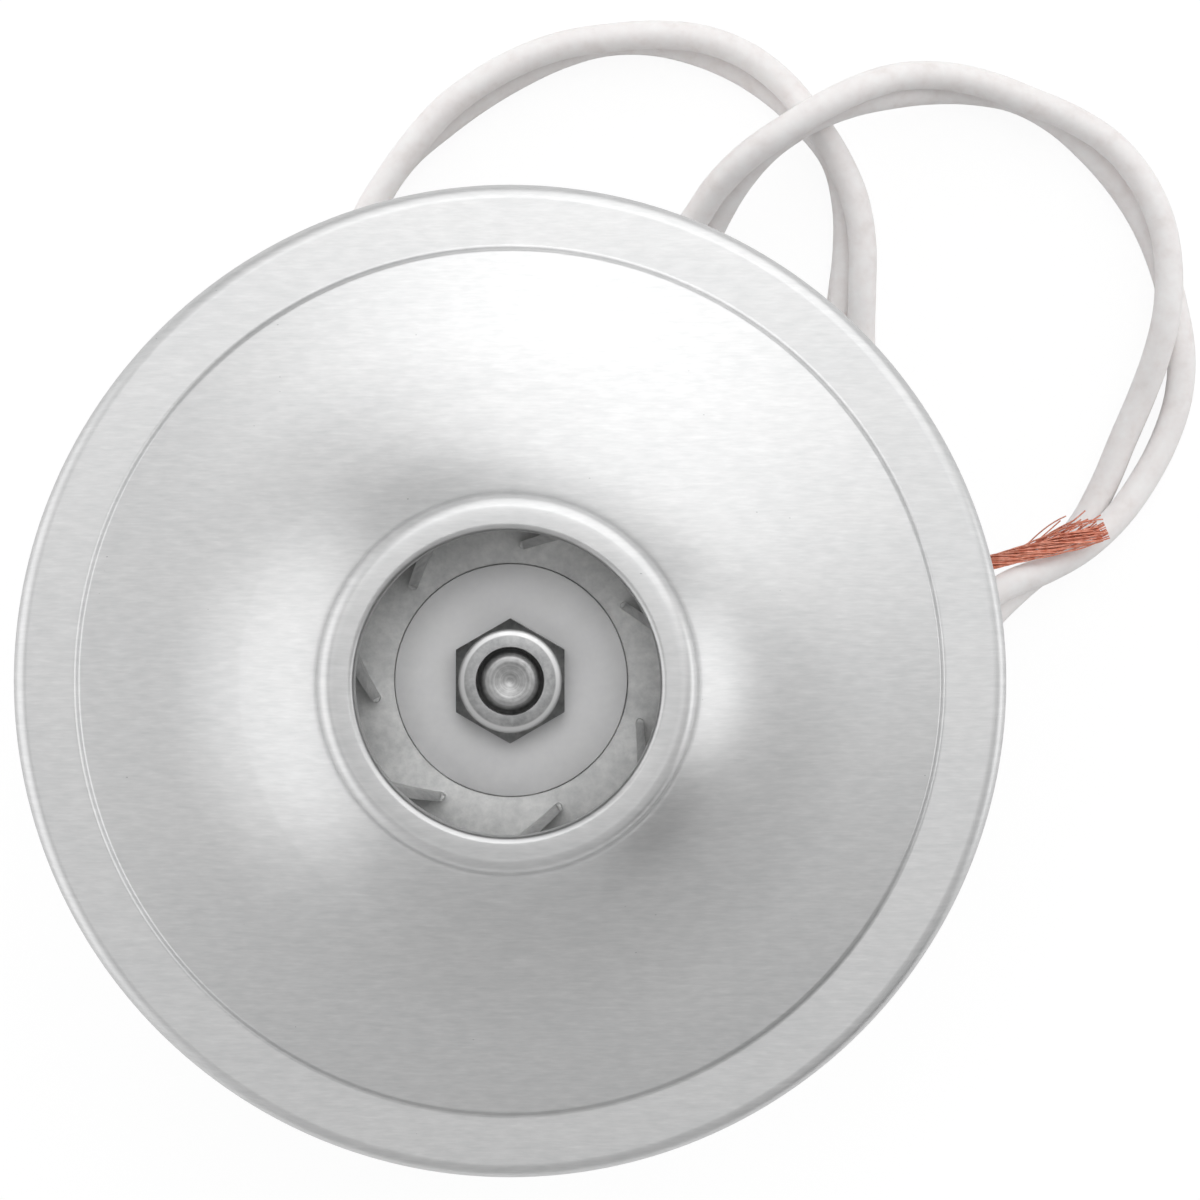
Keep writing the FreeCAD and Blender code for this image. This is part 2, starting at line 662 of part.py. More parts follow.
def make_front_bracket():
    """Plate with windows, bearing cup, seat for the core and outer flange."""
    outer_r = cover_r - COVER_SHEET - SEAT_GAP
    seat_r = FRONT_BEARING_OD / 2 + SEAT_GAP
    cup_r = seat_r + CUP_WALL
    bell_r = STATOR_OD / 2 + BRACKET_WALL
    core_r = STATOR_OD / 2 + SEAT_GAP
    flange_r = outer_r - BRACKET_WALL
    lap_z = stack_top_z - BELL_LAP
    hole_r = SPACER_OD / 2 + FAN_GAP
    section = [
        (hole_r, cup_roof_z),
        (hole_r, cup_roof_z + CUP_ROOF),
        (cup_r, cup_roof_z + CUP_ROOF),
        (cup_r, bracket_top_z),
        (outer_r, bracket_top_z),
        (outer_r, cover_bottom_z),
        (flange_r, cover_bottom_z),
        (flange_r, bracket_z),
        (bell_r, bracket_z),
        (bell_r, lap_z),
        (core_r, lap_z),
        (core_r, stack_top_z),
        (core_r - BELL_SEAT, stack_top_z),
        (core_r - BELL_SEAT, bracket_z),
        (cup_r, bracket_z),
        (cup_r, front_bearing_z),
        (seat_r, front_bearing_z),
        (seat_r, cup_roof_z),
    ]
    bracket = turned_corners(*section)
    boss = disc(SCREW_BOSS_R, stack_top_z, bracket_top_z)
    boss.translate(Vector(screw_circle_r, 0, 0))
    bosses = [at_azimuth(boss, degrees) for degrees in FRAME_SCREW_DEG]
    window = sector(*FRONT_WINDOW_R, 0, FRONT_WINDOW_DEG, bracket_z - CUT_PAST, bracket_top_z + CUT_PAST)
    first_window_deg = FRAME_SCREW_DEG[0] + 180 / FRONT_WINDOW_COUNT
    windows = around(window, FRONT_WINDOW_COUNT, first_window_deg)
    bracket = bracket.cut(windows).fuse(bosses).removeSplitter()
    hole = disc(FRAME_SCREW_R + SEAT_GAP, 0, stack_top_z + FRAME_SCREW_BITE)
    hole.translate(Vector(screw_circle_r, 0, 0))
    bracket = bracket.cut([at_azimuth(hole, degrees) for degrees in FRAME_SCREW_DEG])
    keep("front_bracket", bracket)


def brush_window(margin):
    """Half width, and lower and upper Z, of the housing's body at the brush."""
    half_width = BRUSH_WIDTH / 2 + BRUSH_PLAY + HOLDER_WALL + SEAT_GAP + HOUSING_WALL + margin
    half_height = BRUSH_DEPTH / 2 + BRUSH_PLAY + HOLDER_WALL + SEAT_GAP + HOUSING_WALL + margin
    return half_width, BRUSH_Z - half_height, BRUSH_Z + half_height


def make_rear_bracket():
    """Bearing boss, arms, windowed wall, pads for the brush housings and screw bosses."""
    bell_r = STATOR_OD / 2 + BRACKET_WALL
    core_r = STATOR_OD / 2 + SEAT_GAP
    lap_z = STACK_BOTTOM_Z + BELL_LAP
    plate_top_z = REAR_PLATE_Z + REAR_PLATE
    seat_r = REAR_BEARING_OD / 2 + DAMPER_WALL
    section = [
        (0, 0),
        (REAR_BOSS_R, 0),
        (REAR_BOSS_R, REAR_PLATE_Z),
        (bell_r, REAR_PLATE_Z),
        (bell_r, lap_z),
        (core_r, lap_z),
        (core_r, STACK_BOTTOM_Z),
        (core_r - BELL_SEAT, STACK_BOTTOM_Z),
        (core_r - BELL_SEAT, plate_top_z),
        (seat_r, plate_top_z),
        (seat_r, REAR_BOSS_FLOOR),
        (0, REAR_BOSS_FLOOR),
    ]
    bracket = turned_corners(*section)
    wall = (core_r - 2 * BELL_SEAT, bell_r + CUT_PAST)
    for middle, width, low_z in REAR_WINDOWS:
        bracket = bracket.cut(sector(*wall, middle, width, low_z, REAR_WINDOW_TOP_Z))
    quarter = math.degrees(REAR_ARM_WIDTH / REAR_OPEN_R)
    gap = sector(REAR_BOSS_R + ARM_GAP_MARGIN, REAR_OPEN_R, 45, 90 - quarter,
                 REAR_PLATE_Z - CUT_PAST, plate_top_z + CUT_PAST)
    bracket = bracket.cut(around(gap, 4))

    half_width, low_z, high_z = brush_window(SEAT_GAP)
    pad = block((-PAD_HALF_WIDTH, PAD_HALF_WIDTH), (bell_r - PAD_DEPTH, bell_r),
                (REAR_PLATE_Z, BRUSH_Z + HOUSING_FLANGE_HALF_HEIGHT + PAD_MARGIN))
    boss = disc(SCREW_BOSS_R, REAR_PLATE_Z, STACK_BOTTOM_Z)
    boss.translate(Vector(screw_circle_r, 0, 0))
    bosses = [at_azimuth(boss, degrees) for degrees in FRAME_SCREW_DEG]
    bracket = bracket.fuse([pad, at_azimuth(pad, 180), *bosses]).removeSplitter()
    opening = block((-half_width, half_width), (bell_r - PAD_DEPTH - CUT_PAST, bell_r + CUT_PAST),
                    (low_z, high_z))
    cuts = [opening, at_azimuth(opening, 180)]
    for screw in housing_screw_places():
        cuts.append(screw_hole(screw))
    hole = disc(FRAME_SCREW_R + SEAT_GAP, 0, STACK_BOTTOM_Z + CUT_PAST)
    hole.translate(Vector(screw_circle_r, 0, 0))
    cuts += [at_azimuth(hole, degrees) for degrees in FRAME_SCREW_DEG]
    grommet_half_width = GROMMET_HALF_WIDTH + SEAT_GAP
    grommet_half_height = GROMMET_HALF_HEIGHT + SEAT_GAP
    cuts.append(block(wall, (-grommet_half_width, grommet_half_width),
                      (LEAD_EXIT_Z - grommet_half_height, LEAD_EXIT_Z + grommet_half_height)))
    keep("rear_bracket", bracket.cut(cuts))


# Brush gear


def housing_screw_places():
    """Where the four small screws enter, on the pads' outer faces."""
    places = []
    for side in (1, -1):
        for x in (-HOUSING_SCREW_X, HOUSING_SCREW_X):
            places.append((x, side))
    return places


def screw_hole(place):
    """The hole of one small screw in its pad."""
    x, side = place
    depth = SMALL_SCREW_LENGTH
    start = Vector(x, side * (bracket_face_y - depth), BRUSH_Z)
    return Part.makeCylinder(SMALL_SCREW_R + SEAT_GAP, depth + CUT_PAST, start, Vector(0, side, 0))


def make_brush_gear():
    """Carbon brush, spring, brass holder, cap and moulded housing, on each side."""
    hollow_x = BRUSH_WIDTH / 2 + BRUSH_PLAY
    hollow_z = BRUSH_DEPTH / 2 + BRUSH_PLAY
    tube_x = hollow_x + HOLDER_WALL
    tube_z = hollow_z + HOLDER_WALL
    half_depth = BRUSH_DEPTH / 2
    brush = block((-BRUSH_WIDTH / 2, BRUSH_WIDTH / 2), (COMMUTATOR_R - CUT_PAST, brush_end_y),
                  (BRUSH_Z - half_depth, BRUSH_Z + half_depth))
    brush = brush.cut(disc(COMMUTATOR_R + BEARING_GAP, 0, OVERALL_HEIGHT))
    start_y = COMMUTATOR_R + HOLDER_STANDOFF
    tube_height = (BRUSH_Z - tube_z, BRUSH_Z + tube_z)
    hollow_height = (BRUSH_Z - hollow_z, BRUSH_Z + hollow_z)
    tube = block((-tube_x, tube_x), (start_y, holder_end_y), tube_height)
    hollow = block((-hollow_x, hollow_x), (start_y - CUT_PAST, holder_end_y + CUT_PAST), hollow_height)
    cap = block((-tube_x, tube_x), (holder_end_y, holder_end_y + CAP_THICK), tube_height)
    spring_start = Vector(0, brush_end_y, BRUSH_Z)
    spring_length = holder_end_y - brush_end_y
    along = Vector(0, 1, 0)
    spring = Part.makeCylinder(SPRING_R, spring_length, spring_start, along)
    spring = spring.cut(Part.makeCylinder(SPRING_R - SPRING_WALL, spring_length, spring_start, along))

    half_width, low_z, high_z = brush_window(0.0)
    body = block((-half_width, half_width), (housing_inner_y, bracket_face_y), (low_z, high_z))
    flange = block((-HOUSING_FLANGE_HALF_WIDTH, HOUSING_FLANGE_HALF_WIDTH),
                   (bracket_face_y, bracket_face_y + HOUSING_FLANGE),
                   (BRUSH_Z - HOUSING_FLANGE_HALF_HEIGHT, BRUSH_Z + HOUSING_FLANGE_HALF_HEIGHT))
    nest = block((-tube_x - SEAT_GAP, tube_x + SEAT_GAP), (housing_inner_y - CUT_PAST, holder_end_y),
                 (BRUSH_Z - tube_z - SEAT_GAP, BRUSH_Z + tube_z + SEAT_GAP))
    housing = body.fuse(flange).removeSplitter().cut(nest)
    for x in (-HOUSING_SCREW_X, HOUSING_SCREW_X):
        start = Vector(x, bracket_face_y - CUT_PAST, BRUSH_Z)
        hole = Part.makeCylinder(SMALL_SCREW_R + SEAT_GAP, 2 * HOUSING_FLANGE, start, along)
        housing = housing.cut(hole)
    pieces = {
        "brush": brush,
        "brush_spring": spring,
        "brush_holder": tube.cut(hollow),
        "brush_cap": cap,
        "brush_housing": housing,
    }
    for name, shape in pieces.items():
        keep(f"{name}_a", shape)
        keep(f"{name}_b", at_azimuth(shape, 180))

    screws = []
    for x, side in housing_screw_places():
        head_y = bracket_face_y + HOUSING_FLANGE
        out = Vector(0, side, 0)
        seat = Vector(x, side * head_y, BRUSH_Z)
        head = Part.makeCylinder(SMALL_SCREW_HEAD_R, SMALL_SCREW_HEAD, seat, out)
        tip = Vector(x, side * (head_y - SMALL_SCREW_LENGTH), BRUSH_Z)
        shank = Part.makeCylinder(SMALL_SCREW_R, SMALL_SCREW_LENGTH, tip, out)
        screws.append(head.fuse(shank))
    keep("brush_screws", Part.makeCompound(screws))


# Stator


def make_stator():
    """Laminated core with two poles, and a field coil round each pole."""
    low_z = STACK_BOTTOM_Z
    bore_r = armature_r + AIR_GAP
    core = disc(STATOR_OD / 2, low_z, stack_top_z)
    flat = STATOR_OD / 2 - STATOR_FLAT_DEPTH
    core = core.common(block((-STATOR_OD, STATOR_OD), (-flat, flat), (low_z, stack_top_z)))
    pole = block((0, yoke_inner_r + CUT_PAST), (-POLE_HALF_WIDTH, POLE_HALF_WIDTH), (low_z, stack_top_z))
    shoe = sector(bore_r - CUT_PAST, pole_shoe_r, 0, POLE_SHOE_DEG, low_z, stack_top_z)
    poles = [pole, shoe, at_azimuth(pole, 180), at_azimuth(shoe, 180)]
    hollow = disc(yoke_inner_r, low_z - CUT_PAST, stack_top_z + CUT_PAST).cut(poles)
    hole = disc(FRAME_SCREW_R + SEAT_GAP, 0, OVERALL_HEIGHT)
    hole.translate(Vector(screw_circle_r, 0, 0))
    holes = [at_azimuth(hole, degrees) for degrees in FRAME_SCREW_DEG]
    core = core.cut([hollow, disc(bore_r, 0, OVERALL_HEIGHT), *holes])
    keep("stator_core", core)

    coil_low_z = low_z - COIL_OVERHANG
    coil_high_z = stack_top_z + COIL_OVERHANG
    band = ring(pole_shoe_r + COIL_SLACK, yoke_inner_r - COIL_SLACK, coil_low_z, coil_high_z)
    half = block((COIL_SPLIT, STATOR_OD), (-STATOR_OD, STATOR_OD), (0, OVERALL_HEIGHT))
    half_opening = POLE_HALF_WIDTH + COIL_SLACK
    opening = block((0, STATOR_OD), (-half_opening, half_opening),
                    (low_z - COIL_SLACK, stack_top_z + COIL_SLACK))
    coil = band.common(half).cut(opening)
    keep("field_coil_a", coil)
    keep("field_coil_b", at_azimuth(coil, 180))


def make_frame_screws():
    """The two long screws that hold both brackets on the core."""
    screws = []
    for degrees in FRAME_SCREW_DEG:
        place = polar(screw_circle_r, degrees)
        shank = disc(FRAME_SCREW_R, REAR_PLATE_Z, stack_top_z + FRAME_SCREW_BITE)
        head = disc(FRAME_SCREW_HEAD_R, REAR_PLATE_Z - FRAME_SCREW_HEAD, REAR_PLATE_Z)
        screw = head.fuse(shank)
        screw.translate(place)
        screws.append(screw)
    keep("frame_screws", Part.makeCompound(screws))


# Leads, from the grommet to their stripped ends; the points are chosen by hand

LEAD_A_POINTS = [
    (lead_exit_x, LEAD_EXIT_Y, LEAD_EXIT_Z),
    (57.0, LEAD_EXIT_Y, LEAD_EXIT_Z),
    (69.2, 13.1, 7.9),
    (81.2, 20.6, 7.0),
    (91.4, 33.8, 2.2),
    (94.2, 48.8, 2.2),
    (87.8, 63.2, 2.2),
    (78.6, 76.0, 7.0),
    (66.2, 83.6, 7.0),
    (54.2, 86.2, 3.2),
    (42.8, 83.2, 7.2),
    (34.2, 74.0, 7.0),
    (28.4, 61.4, 2.2),
    (16.8, 50.0, 4.0),
    (1.6, 44.8, 7.2),
    (-13.8, 43.8, 7.2),
    (-25.4, 50.6, 7.2),
    (-28.2, 64.0, 7.2),
    (-18.6, 76.2, 4.4),
    (-4.6, 87.0, 2.2),
    (13.4, 91.2, 2.2),
    (29.0, 85.8, 2.2),
    (39.0, 76.2, 2.2),
    (44.8, 67.8, 7.4),
    (48.8, 56.8, 6.9),
    (48.9, 43.6, 2.6),
    (48.4, 30.0, 4.0),
    (53.0, 18.8, 7.6),
    (62.2, 14.4, 9.0),
]
LEAD_B_POINTS = [
    (lead_exit_x, -LEAD_EXIT_Y, LEAD_EXIT_Z),
    (58.8, -LEAD_EXIT_Y, LEAD_EXIT_Z),
    (68.4, 6.8, 6.0),
    (76.6, 18.0, 2.2),
    (83.4, 30.0, 2.2),
    (88.4, 43.0, 6.8),
    (92.6, 58.8, 6.9),
    (90.8, 71.8, 2.2),
    (79.2, 79.8, 2.2),
    (64.4, 80.4, 2.2),
    (54.0, 80.2, 5.4),
    (43.4, 80.0, 12.2),
    (31.6, 77.0, 10.8),
    (23.2, 65.4, 4.6),
    (12.6, 54.6, 2.2),
    (0.2, 47.8, 2.2),
    (-13.0, 45.2, 2.2),
    (-23.6, 52.6, 2.2),
    (-24.4, 65.8, 2.2),
    (-14.4, 74.4, 2.2),
    (-2.0, 80.6, 2.4),
    (7.6, 87.2, 6.9),
    (20.6, 92.0, 6.9),
    (34.4, 88.2, 2.4),
    (44.6, 77.8, 2.2),
    (48.2, 65.6, 2.2),
    (44.6, 52.4, 2.2),
    (44.2, 40.0, 2.2),
]
COPPER_A_POINTS = [*LEAD_A_POINTS[-2:], (68.4, 15.4, 10.6), (82.0, 20.4, 11.0)]
COPPER_B_POINTS = [*LEAD_B_POINTS[-2:], (44.3, 33.0, 1.9), (45.4, 26.0, 1.6)]


def lead_path(points):
    """Straight runs joined by arcs as large as their runs allow, and the least radius."""
    corners = [Vector(*point) for point in points]
    radii = []
    for before, corner, after in zip(corners, corners[1:], corners[2:]):
        back = before - corner
        ahead = after - corner
        half_turn = (math.pi - back.getAngle(ahead)) / 2
        radii.append(0.45 * min(back.Length, ahead.Length) / math.tan(half_turn))
    return Part.Wire(rounded_edges(corners, radii)), min(radii)


def lead_section(start, direction):
    """The lead's section as a polygon of the round section's area."""
    across = Vector(0, 0, 1).cross(direction).normalize()
    upward = direction.cross(across).normalize()
    step = 2 * math.pi / LEAD_SIDES
    radius = LEAD_D / 2 * math.sqrt(step / math.sin(step))
    corners = []
    for side in range(LEAD_SIDES + 1):
        angle = step * (side + 0.5)
        sideways = across * (radius * math.cos(angle))
        corners.append(start + sideways + upward * (radius * math.sin(angle)))
    return Part.makePolygon(corners)


def make_lead(name, points):
    """One free lead, with its least bend radius and its volume printed."""
    path, least_radius = lead_path(points)
    direction = Vector(*points[1]) - Vector(*points[0])
    section = lead_section(Vector(*points[0]), direction.normalize())
    tube = path.makePipeShell([section], True, False)
    expected = math.pi * LEAD_D ** 2 / 4 * path.Length
    print(f"{name}: length {path.Length:.1f}, least radius {least_radius:.1f},"
          f" volume {tube.Volume:.0f} of {expected:.0f}, valid {tube.isValid()}")
    keep(name, tube)


def make_strands(name, points):
    """The stripped strands of a lead, as one flat bundle that widens to its cut end."""
    before, start, bend, end = [Vector(*point) for point in points]
    rings = []
    for place, direction, widening in (
        (start, start - before, 1.0),
        (bend, end - start, 1.0),
        (end, end - bend, STRAND_FAN),
    ):
        across = Vector(0, 0, 1).cross(direction).normalize()
        upward = Vector(direction).cross(across).normalize()
        half_width = widening * STRAND_BUNDLE_R
        half_height = half_width * STRAND_FLATNESS
        corners = []
        for side in range(LEAD_SIDES + 1):
            angle = 2 * math.pi * side / LEAD_SIDES
            sideways = across * (half_width * math.cos(angle))
            corners.append(place + sideways + upward * (half_height * math.sin(angle)))
        rings.append(Part.makePolygon(corners))
    keep(name, Part.makeLoft(rings, True, True))


def make_leads():
    """Grommet, both leads and their stripped ends."""
    body = block((grommet_inner_x, lead_exit_x), (-GROMMET_HALF_WIDTH, GROMMET_HALF_WIDTH),
                 (LEAD_EXIT_Z - GROMMET_HALF_HEIGHT, LEAD_EXIT_Z + GROMMET_HALF_HEIGHT))
    flange_x = STATOR_OD / 2 + BRACKET_WALL + SEAT_GAP
    half_width = GROMMET_HALF_WIDTH + GROMMET_FLANGE
    half_height = GROMMET_HALF_HEIGHT + GROMMET_FLANGE
    flange = block((flange_x, flange_x + GROMMET_FLANGE_THICK), (-half_width, half_width),
                   (LEAD_EXIT_Z - half_height, LEAD_EXIT_Z + half_height))
    keep("lead_grommet", body.fuse(flange).removeSplitter())
    make_lead("lead_a", LEAD_A_POINTS)
    make_lead("lead_b", LEAD_B_POINTS)
    make_strands("lead_a_copper", COPPER_A_POINTS)
    make_strands("lead_b_copper", COPPER_B_POINTS)


make_fan_cover()
make_impeller()
make_impeller_clamp()
make_shaft()
make_armature()
make_commutator()
make_bearings()
make_diffuser()
make_front_bracket()
make_rear_bracket()
make_brush_gear()
make_stator()
make_frame_screws()
make_leads()
for node, shape in made.items():
    if not shape.isValid():
        print(f"{node} is not valid")
print(f"{len(made)} nodes")
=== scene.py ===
import json
import math
import random

import bmesh
import bpy
from mathutils import Matrix, Vector


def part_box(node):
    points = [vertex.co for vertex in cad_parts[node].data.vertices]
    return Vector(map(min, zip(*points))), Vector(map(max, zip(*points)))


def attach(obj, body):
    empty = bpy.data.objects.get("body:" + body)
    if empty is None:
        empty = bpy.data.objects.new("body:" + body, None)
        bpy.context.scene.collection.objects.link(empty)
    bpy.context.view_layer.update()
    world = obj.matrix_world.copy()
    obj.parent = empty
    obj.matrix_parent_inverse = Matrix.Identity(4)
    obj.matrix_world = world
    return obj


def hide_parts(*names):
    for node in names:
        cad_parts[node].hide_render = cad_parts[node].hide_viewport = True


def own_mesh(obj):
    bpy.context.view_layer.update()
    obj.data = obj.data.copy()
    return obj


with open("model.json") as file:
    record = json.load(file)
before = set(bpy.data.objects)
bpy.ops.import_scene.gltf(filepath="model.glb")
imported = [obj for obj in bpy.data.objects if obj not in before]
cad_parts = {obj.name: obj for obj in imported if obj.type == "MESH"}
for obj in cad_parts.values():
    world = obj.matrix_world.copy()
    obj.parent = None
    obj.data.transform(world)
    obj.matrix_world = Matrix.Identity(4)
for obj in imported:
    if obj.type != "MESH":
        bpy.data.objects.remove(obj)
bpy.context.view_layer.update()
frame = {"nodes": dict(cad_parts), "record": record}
nodes = frame["nodes"]
MM = 0.001

# Lengths are in millimetres. A section is a list of (radius, height) corners.

# Camera, from the photograph: straight down, half a metre above the cover's flat ring
CAMERA_PLACE = (10.78, 9.71, 596.8)
CAMERA_NEAR = 10.0
CAMERA_LENS = 125.55

# Light: an even room with soft boxes, as (azimuth, elevation, half width in degrees, strength)
ROOM_LEVEL = 0.507
SOFT_BOXES = (
    (68, 44, 45, 0.94),
    (183, 12, 50, 0.78),
    (0, 3, 28, 1.07),
    (94, 76, 16, 1.2),
    (317, 5, 20, -0.4),
)
SOFT_BOX_CORE = 0.35
FLOOR_HALF = 1500.0
FLOOR_GLOW = 1.06
FLOOR_GLOW_SHARE = 0.85

# Fan cover
COVER_R = 59.5
COVER_SHEET = 1.0
COVER_BOTTOM_Z = 66.0
LIP_TOP_Z = 112.0
INLET_R = 17.8
LIP_NECK_Z = 107.0
LIP_LEAN = 0.15
CONE_FOOT = (22.2, 108.9)
CONE_KNEES = ((27.0, 104.57), (37.0, 100.33), (51.4, 97.94))
COVER_STEP = (51.9, 96.76)
COVER_BENDS = (0.8, 1.8, 2.0, 30.0, 45.0, 0.4, 0.5, 1.8)
# Painted shade on the rolled lip: the radii over which it fades out, and how dark it is
PAINTED_LIP_SHADE_EDGE = (20.0, 21.0)
PAINTED_LIP_SHADE_LEVEL = 0.88

# Impeller
EYE_R = 20.4
EYE_TOP_Z = 107.18
FAN_R = 50.5
FAN_SHEET = 0.9
FAN_KNEES = ((20.4, 104.78), (25.2, 101.78), (35.2, 97.53), (50.5, 95.16))
FAN_BENDS = (5.0, 30.0, 40.0)
BLADE_COUNT = 7
BLADE_FIRST_DEG = 99.0
BLADE_SHEET = 1.0
BLADE_ROOT_R = 15.9
BLADE_NOSE = (15.8, 90.0)
BLADE_ROUTE = ((14.8, 3.0), (30.0, -65.0), (51.5, -108.0))
BLADE_STEPS = 120
BLADE_RIM_GAP = 0.3
BLADE_TOP_GAP = 1.1
BLADE_EASED = 0.16

# Clamp and shaft. A foot or tip is (radius, distance from its own end), and flats join the nut's two lists
SHAFT_HOLE_R = 4.05
WASHER_PROUD = 0.35
WASHER_SEAT_WIDTH = 0.6
WASHER_GAP = 0.05
WASHER_GROOVE_DEPTH = 0.15
RAISED_CENTRE_SLOPE = 3.5
NUT_FLATS = 13.0
NUT_FOOT = ((4.0, 0.5), (4.45, 0.0), (6.0, 0.0), (6.1, 0.06))
NUT_CROWN = ((6.22, 0.16), (6.1, 0.1), (5.82, 0.0), (4.12, 0.0), (4.03, 0.08), (4.0, 0.3))
NUT_CHAMFER_DEG = 30.0
# Radii of the painted highlight ring on the nut's chamfer
NUT_PAINTED_HIGHLIGHT_RING = (5.4, 6.25)
SHAFT_FOOT = ((0.0, 0.0), (3.6, 0.0), (4.0, 0.4))
SHAFT_TIP = ((3.47, 1.5), (3.47, 0.34), (3.37, 0.22), (2.92, 0.03), (2.82, 0.0), (1.95, 0.0), (1.82, 0.04),
             (1.7, 0.04), (1.35, 0.12), (0.55, 0.14), (0.4, 0.19), (0.0, 0.21))
SHAFT_RELIEF = 1.9
SHAFT_REAR_R = 4.0
SHAFT_BODY_R = 6.0
SHAFT_FRONT_R = 5.0
SHAFT_CHAMFER = 0.3
SHAFT_STEP = 0.4
THREAD_UNDER_SPACER = 0.5
THREAD_PITCH = 1.25
THREAD_TURN = ((4.0, 0.3), (4.0, 0.45), (3.45, 0.9), (3.45, 1.05), (4.0, 1.45))

# Field coils
COIL_R = (24.6, 32.4)
COIL_WINDOW_Z = (36.4, 63.6)
COIL_DEPTH = 6.9
COIL_WINDOW_DEG = 27.0
COIL_SIDE_DEG = 85.0
COIL_BENDS = (1.5, 5.0)
COIL_SECTION_BEND = 2.0
COIL_ARC_STEPS = 26
COIL_SIDE_STEPS = 2
COIL_WIRE_R = 0.36
COIL_PITCH = 2.02 * COIL_WIRE_R
COIL_WIRE_STRAY = 0.06
COIL_CORE_INSET = 1.2 * COIL_WIRE_R
COIL_LEAST_DEPTH = 0.3

# Armature winding, with a tail to each commutator bar as (radius, degrees)
ARMATURE_WIRE_R = 0.3
ARMATURE_CORE_INSET = 0.55
SLOT_COUNT = 12
SLOT_WIRES = 8
SLOT_R = 17.9
SLOT_WIRE_DEG = 1.7
TURN_SPAN_DEG = 150
TURN_INNER_R = 7.6
TURN_R_STEP = 1.15
TURN_STEPS = 32
TURN_SHOULDER = 2.4
TURN_FOOT = 0.15
TURN_DIP = 0.75
BAR_COUNT = 24
TAIL_ROUTE = ((16.2, 9), (14.6, 9), (13.55, 0), (13.5, 0))
TAIL_OVER_HEAD = (1.6, 0.2)
TAIL_UNDER_RISER = (0.4, 1.8)

# Springs, bearings and screws
SPRING_WIRE_R = 0.35
SPRING_TURNS = 9
SPRING_TURN_STEPS = 24
SHIELD_GAP = 0.05
SHIELD_SET_BACK = 0.35
RING_LAND = 1.7
RING_LAND_SLOPE = 0.12
RECESS_DEPTH = 0.8
RECESS_PROUD = 0.3
RECESS_FLOOR = 0.55
RECESS_WIDTH = 0.24

# Leads
LEAD_D = 4.0
LEAD_ROUND = 6
STRAND_COUNT = 64
STRAND_R = 0.1
STRAND_STEPS = 24
STRAY_EVERY = 7
BUNDLE_R = 0.95
BUNDLE_FLAT = 0.62
BUNDLE_GROWS = 0.45
GOLDEN_ANGLE = 2.39996
WIRE_SIDES = 7

LEAD_A_POINTS = [
    (45.0, 2.6, 14.0), (51.5, 2.9, 13.8), (57.5, 4.8, 12.8), (62.7, 8.4, 11.4), (68.0, 11.8, 9.7),
    (73.7, 14.1, 7.7), (79.2, 17.2, 6.1), (83.9, 21.4, 4.5), (87.7, 26.4, 3.0), (90.8, 32.0, 2.2),
    (92.9, 38.2, 2.0), (93.4, 44.6, 2.0), (92.4, 51.0, 2.0), (90.7, 57.3, 2.0), (88.2, 63.2, 2.0),
    (84.7, 68.7, 2.0), (80.4, 73.6, 2.1), (75.5, 77.9, 2.1), (69.8, 80.9, 2.1), (63.5, 82.0, 2.5),
    (57.4, 81.8, 4.5), (51.6, 80.8, 7.3), (45.7, 79.3, 9.5), (39.7, 76.8, 10.2), (34.4, 73.2, 9.8),
    (30.3, 68.7, 7.7), (27.3, 63.8, 4.7), (24.5, 58.3, 2.8), (20.3, 53.5, 3.0), (14.9, 50.0, 4.1),
    (9.1, 47.4, 5.5), (3.0, 45.8, 6.6), (-3.4, 45.0, 7.0), (-9.9, 45.3, 7.0), (-16.1, 47.2, 7.0),
    (-21.1, 51.2, 7.0), (-23.7, 57.0, 6.8), (-22.4, 63.3, 6.4), (-19.2, 68.9, 6.1), (-15.4, 74.2, 6.1),
    (-11.1, 79.0, 6.1), (-5.9, 82.9, 6.1), (-0.2, 86.0, 6.1), (5.9, 88.1, 6.1), (12.3, 89.1, 6.1),
    (18.8, 89.5, 6.1), (25.2, 88.9, 6.1), (31.3, 86.6, 6.1), (36.5, 82.7, 6.1), (40.6, 77.7, 6.1),
    (44.1, 72.3, 6.1), (46.7, 66.4, 6.1), (47.8, 60.0, 6.1), (47.8, 53.5, 5.9), (47.7, 47.1, 5.0),
    (48.1, 40.7, 4.1), (48.6, 34.2, 3.9), (49.8, 27.9, 4.8), (52.4, 22.2, 6.4), (56.7, 17.7, 7.9),
    (62.2, 14.4, 9.0),
]
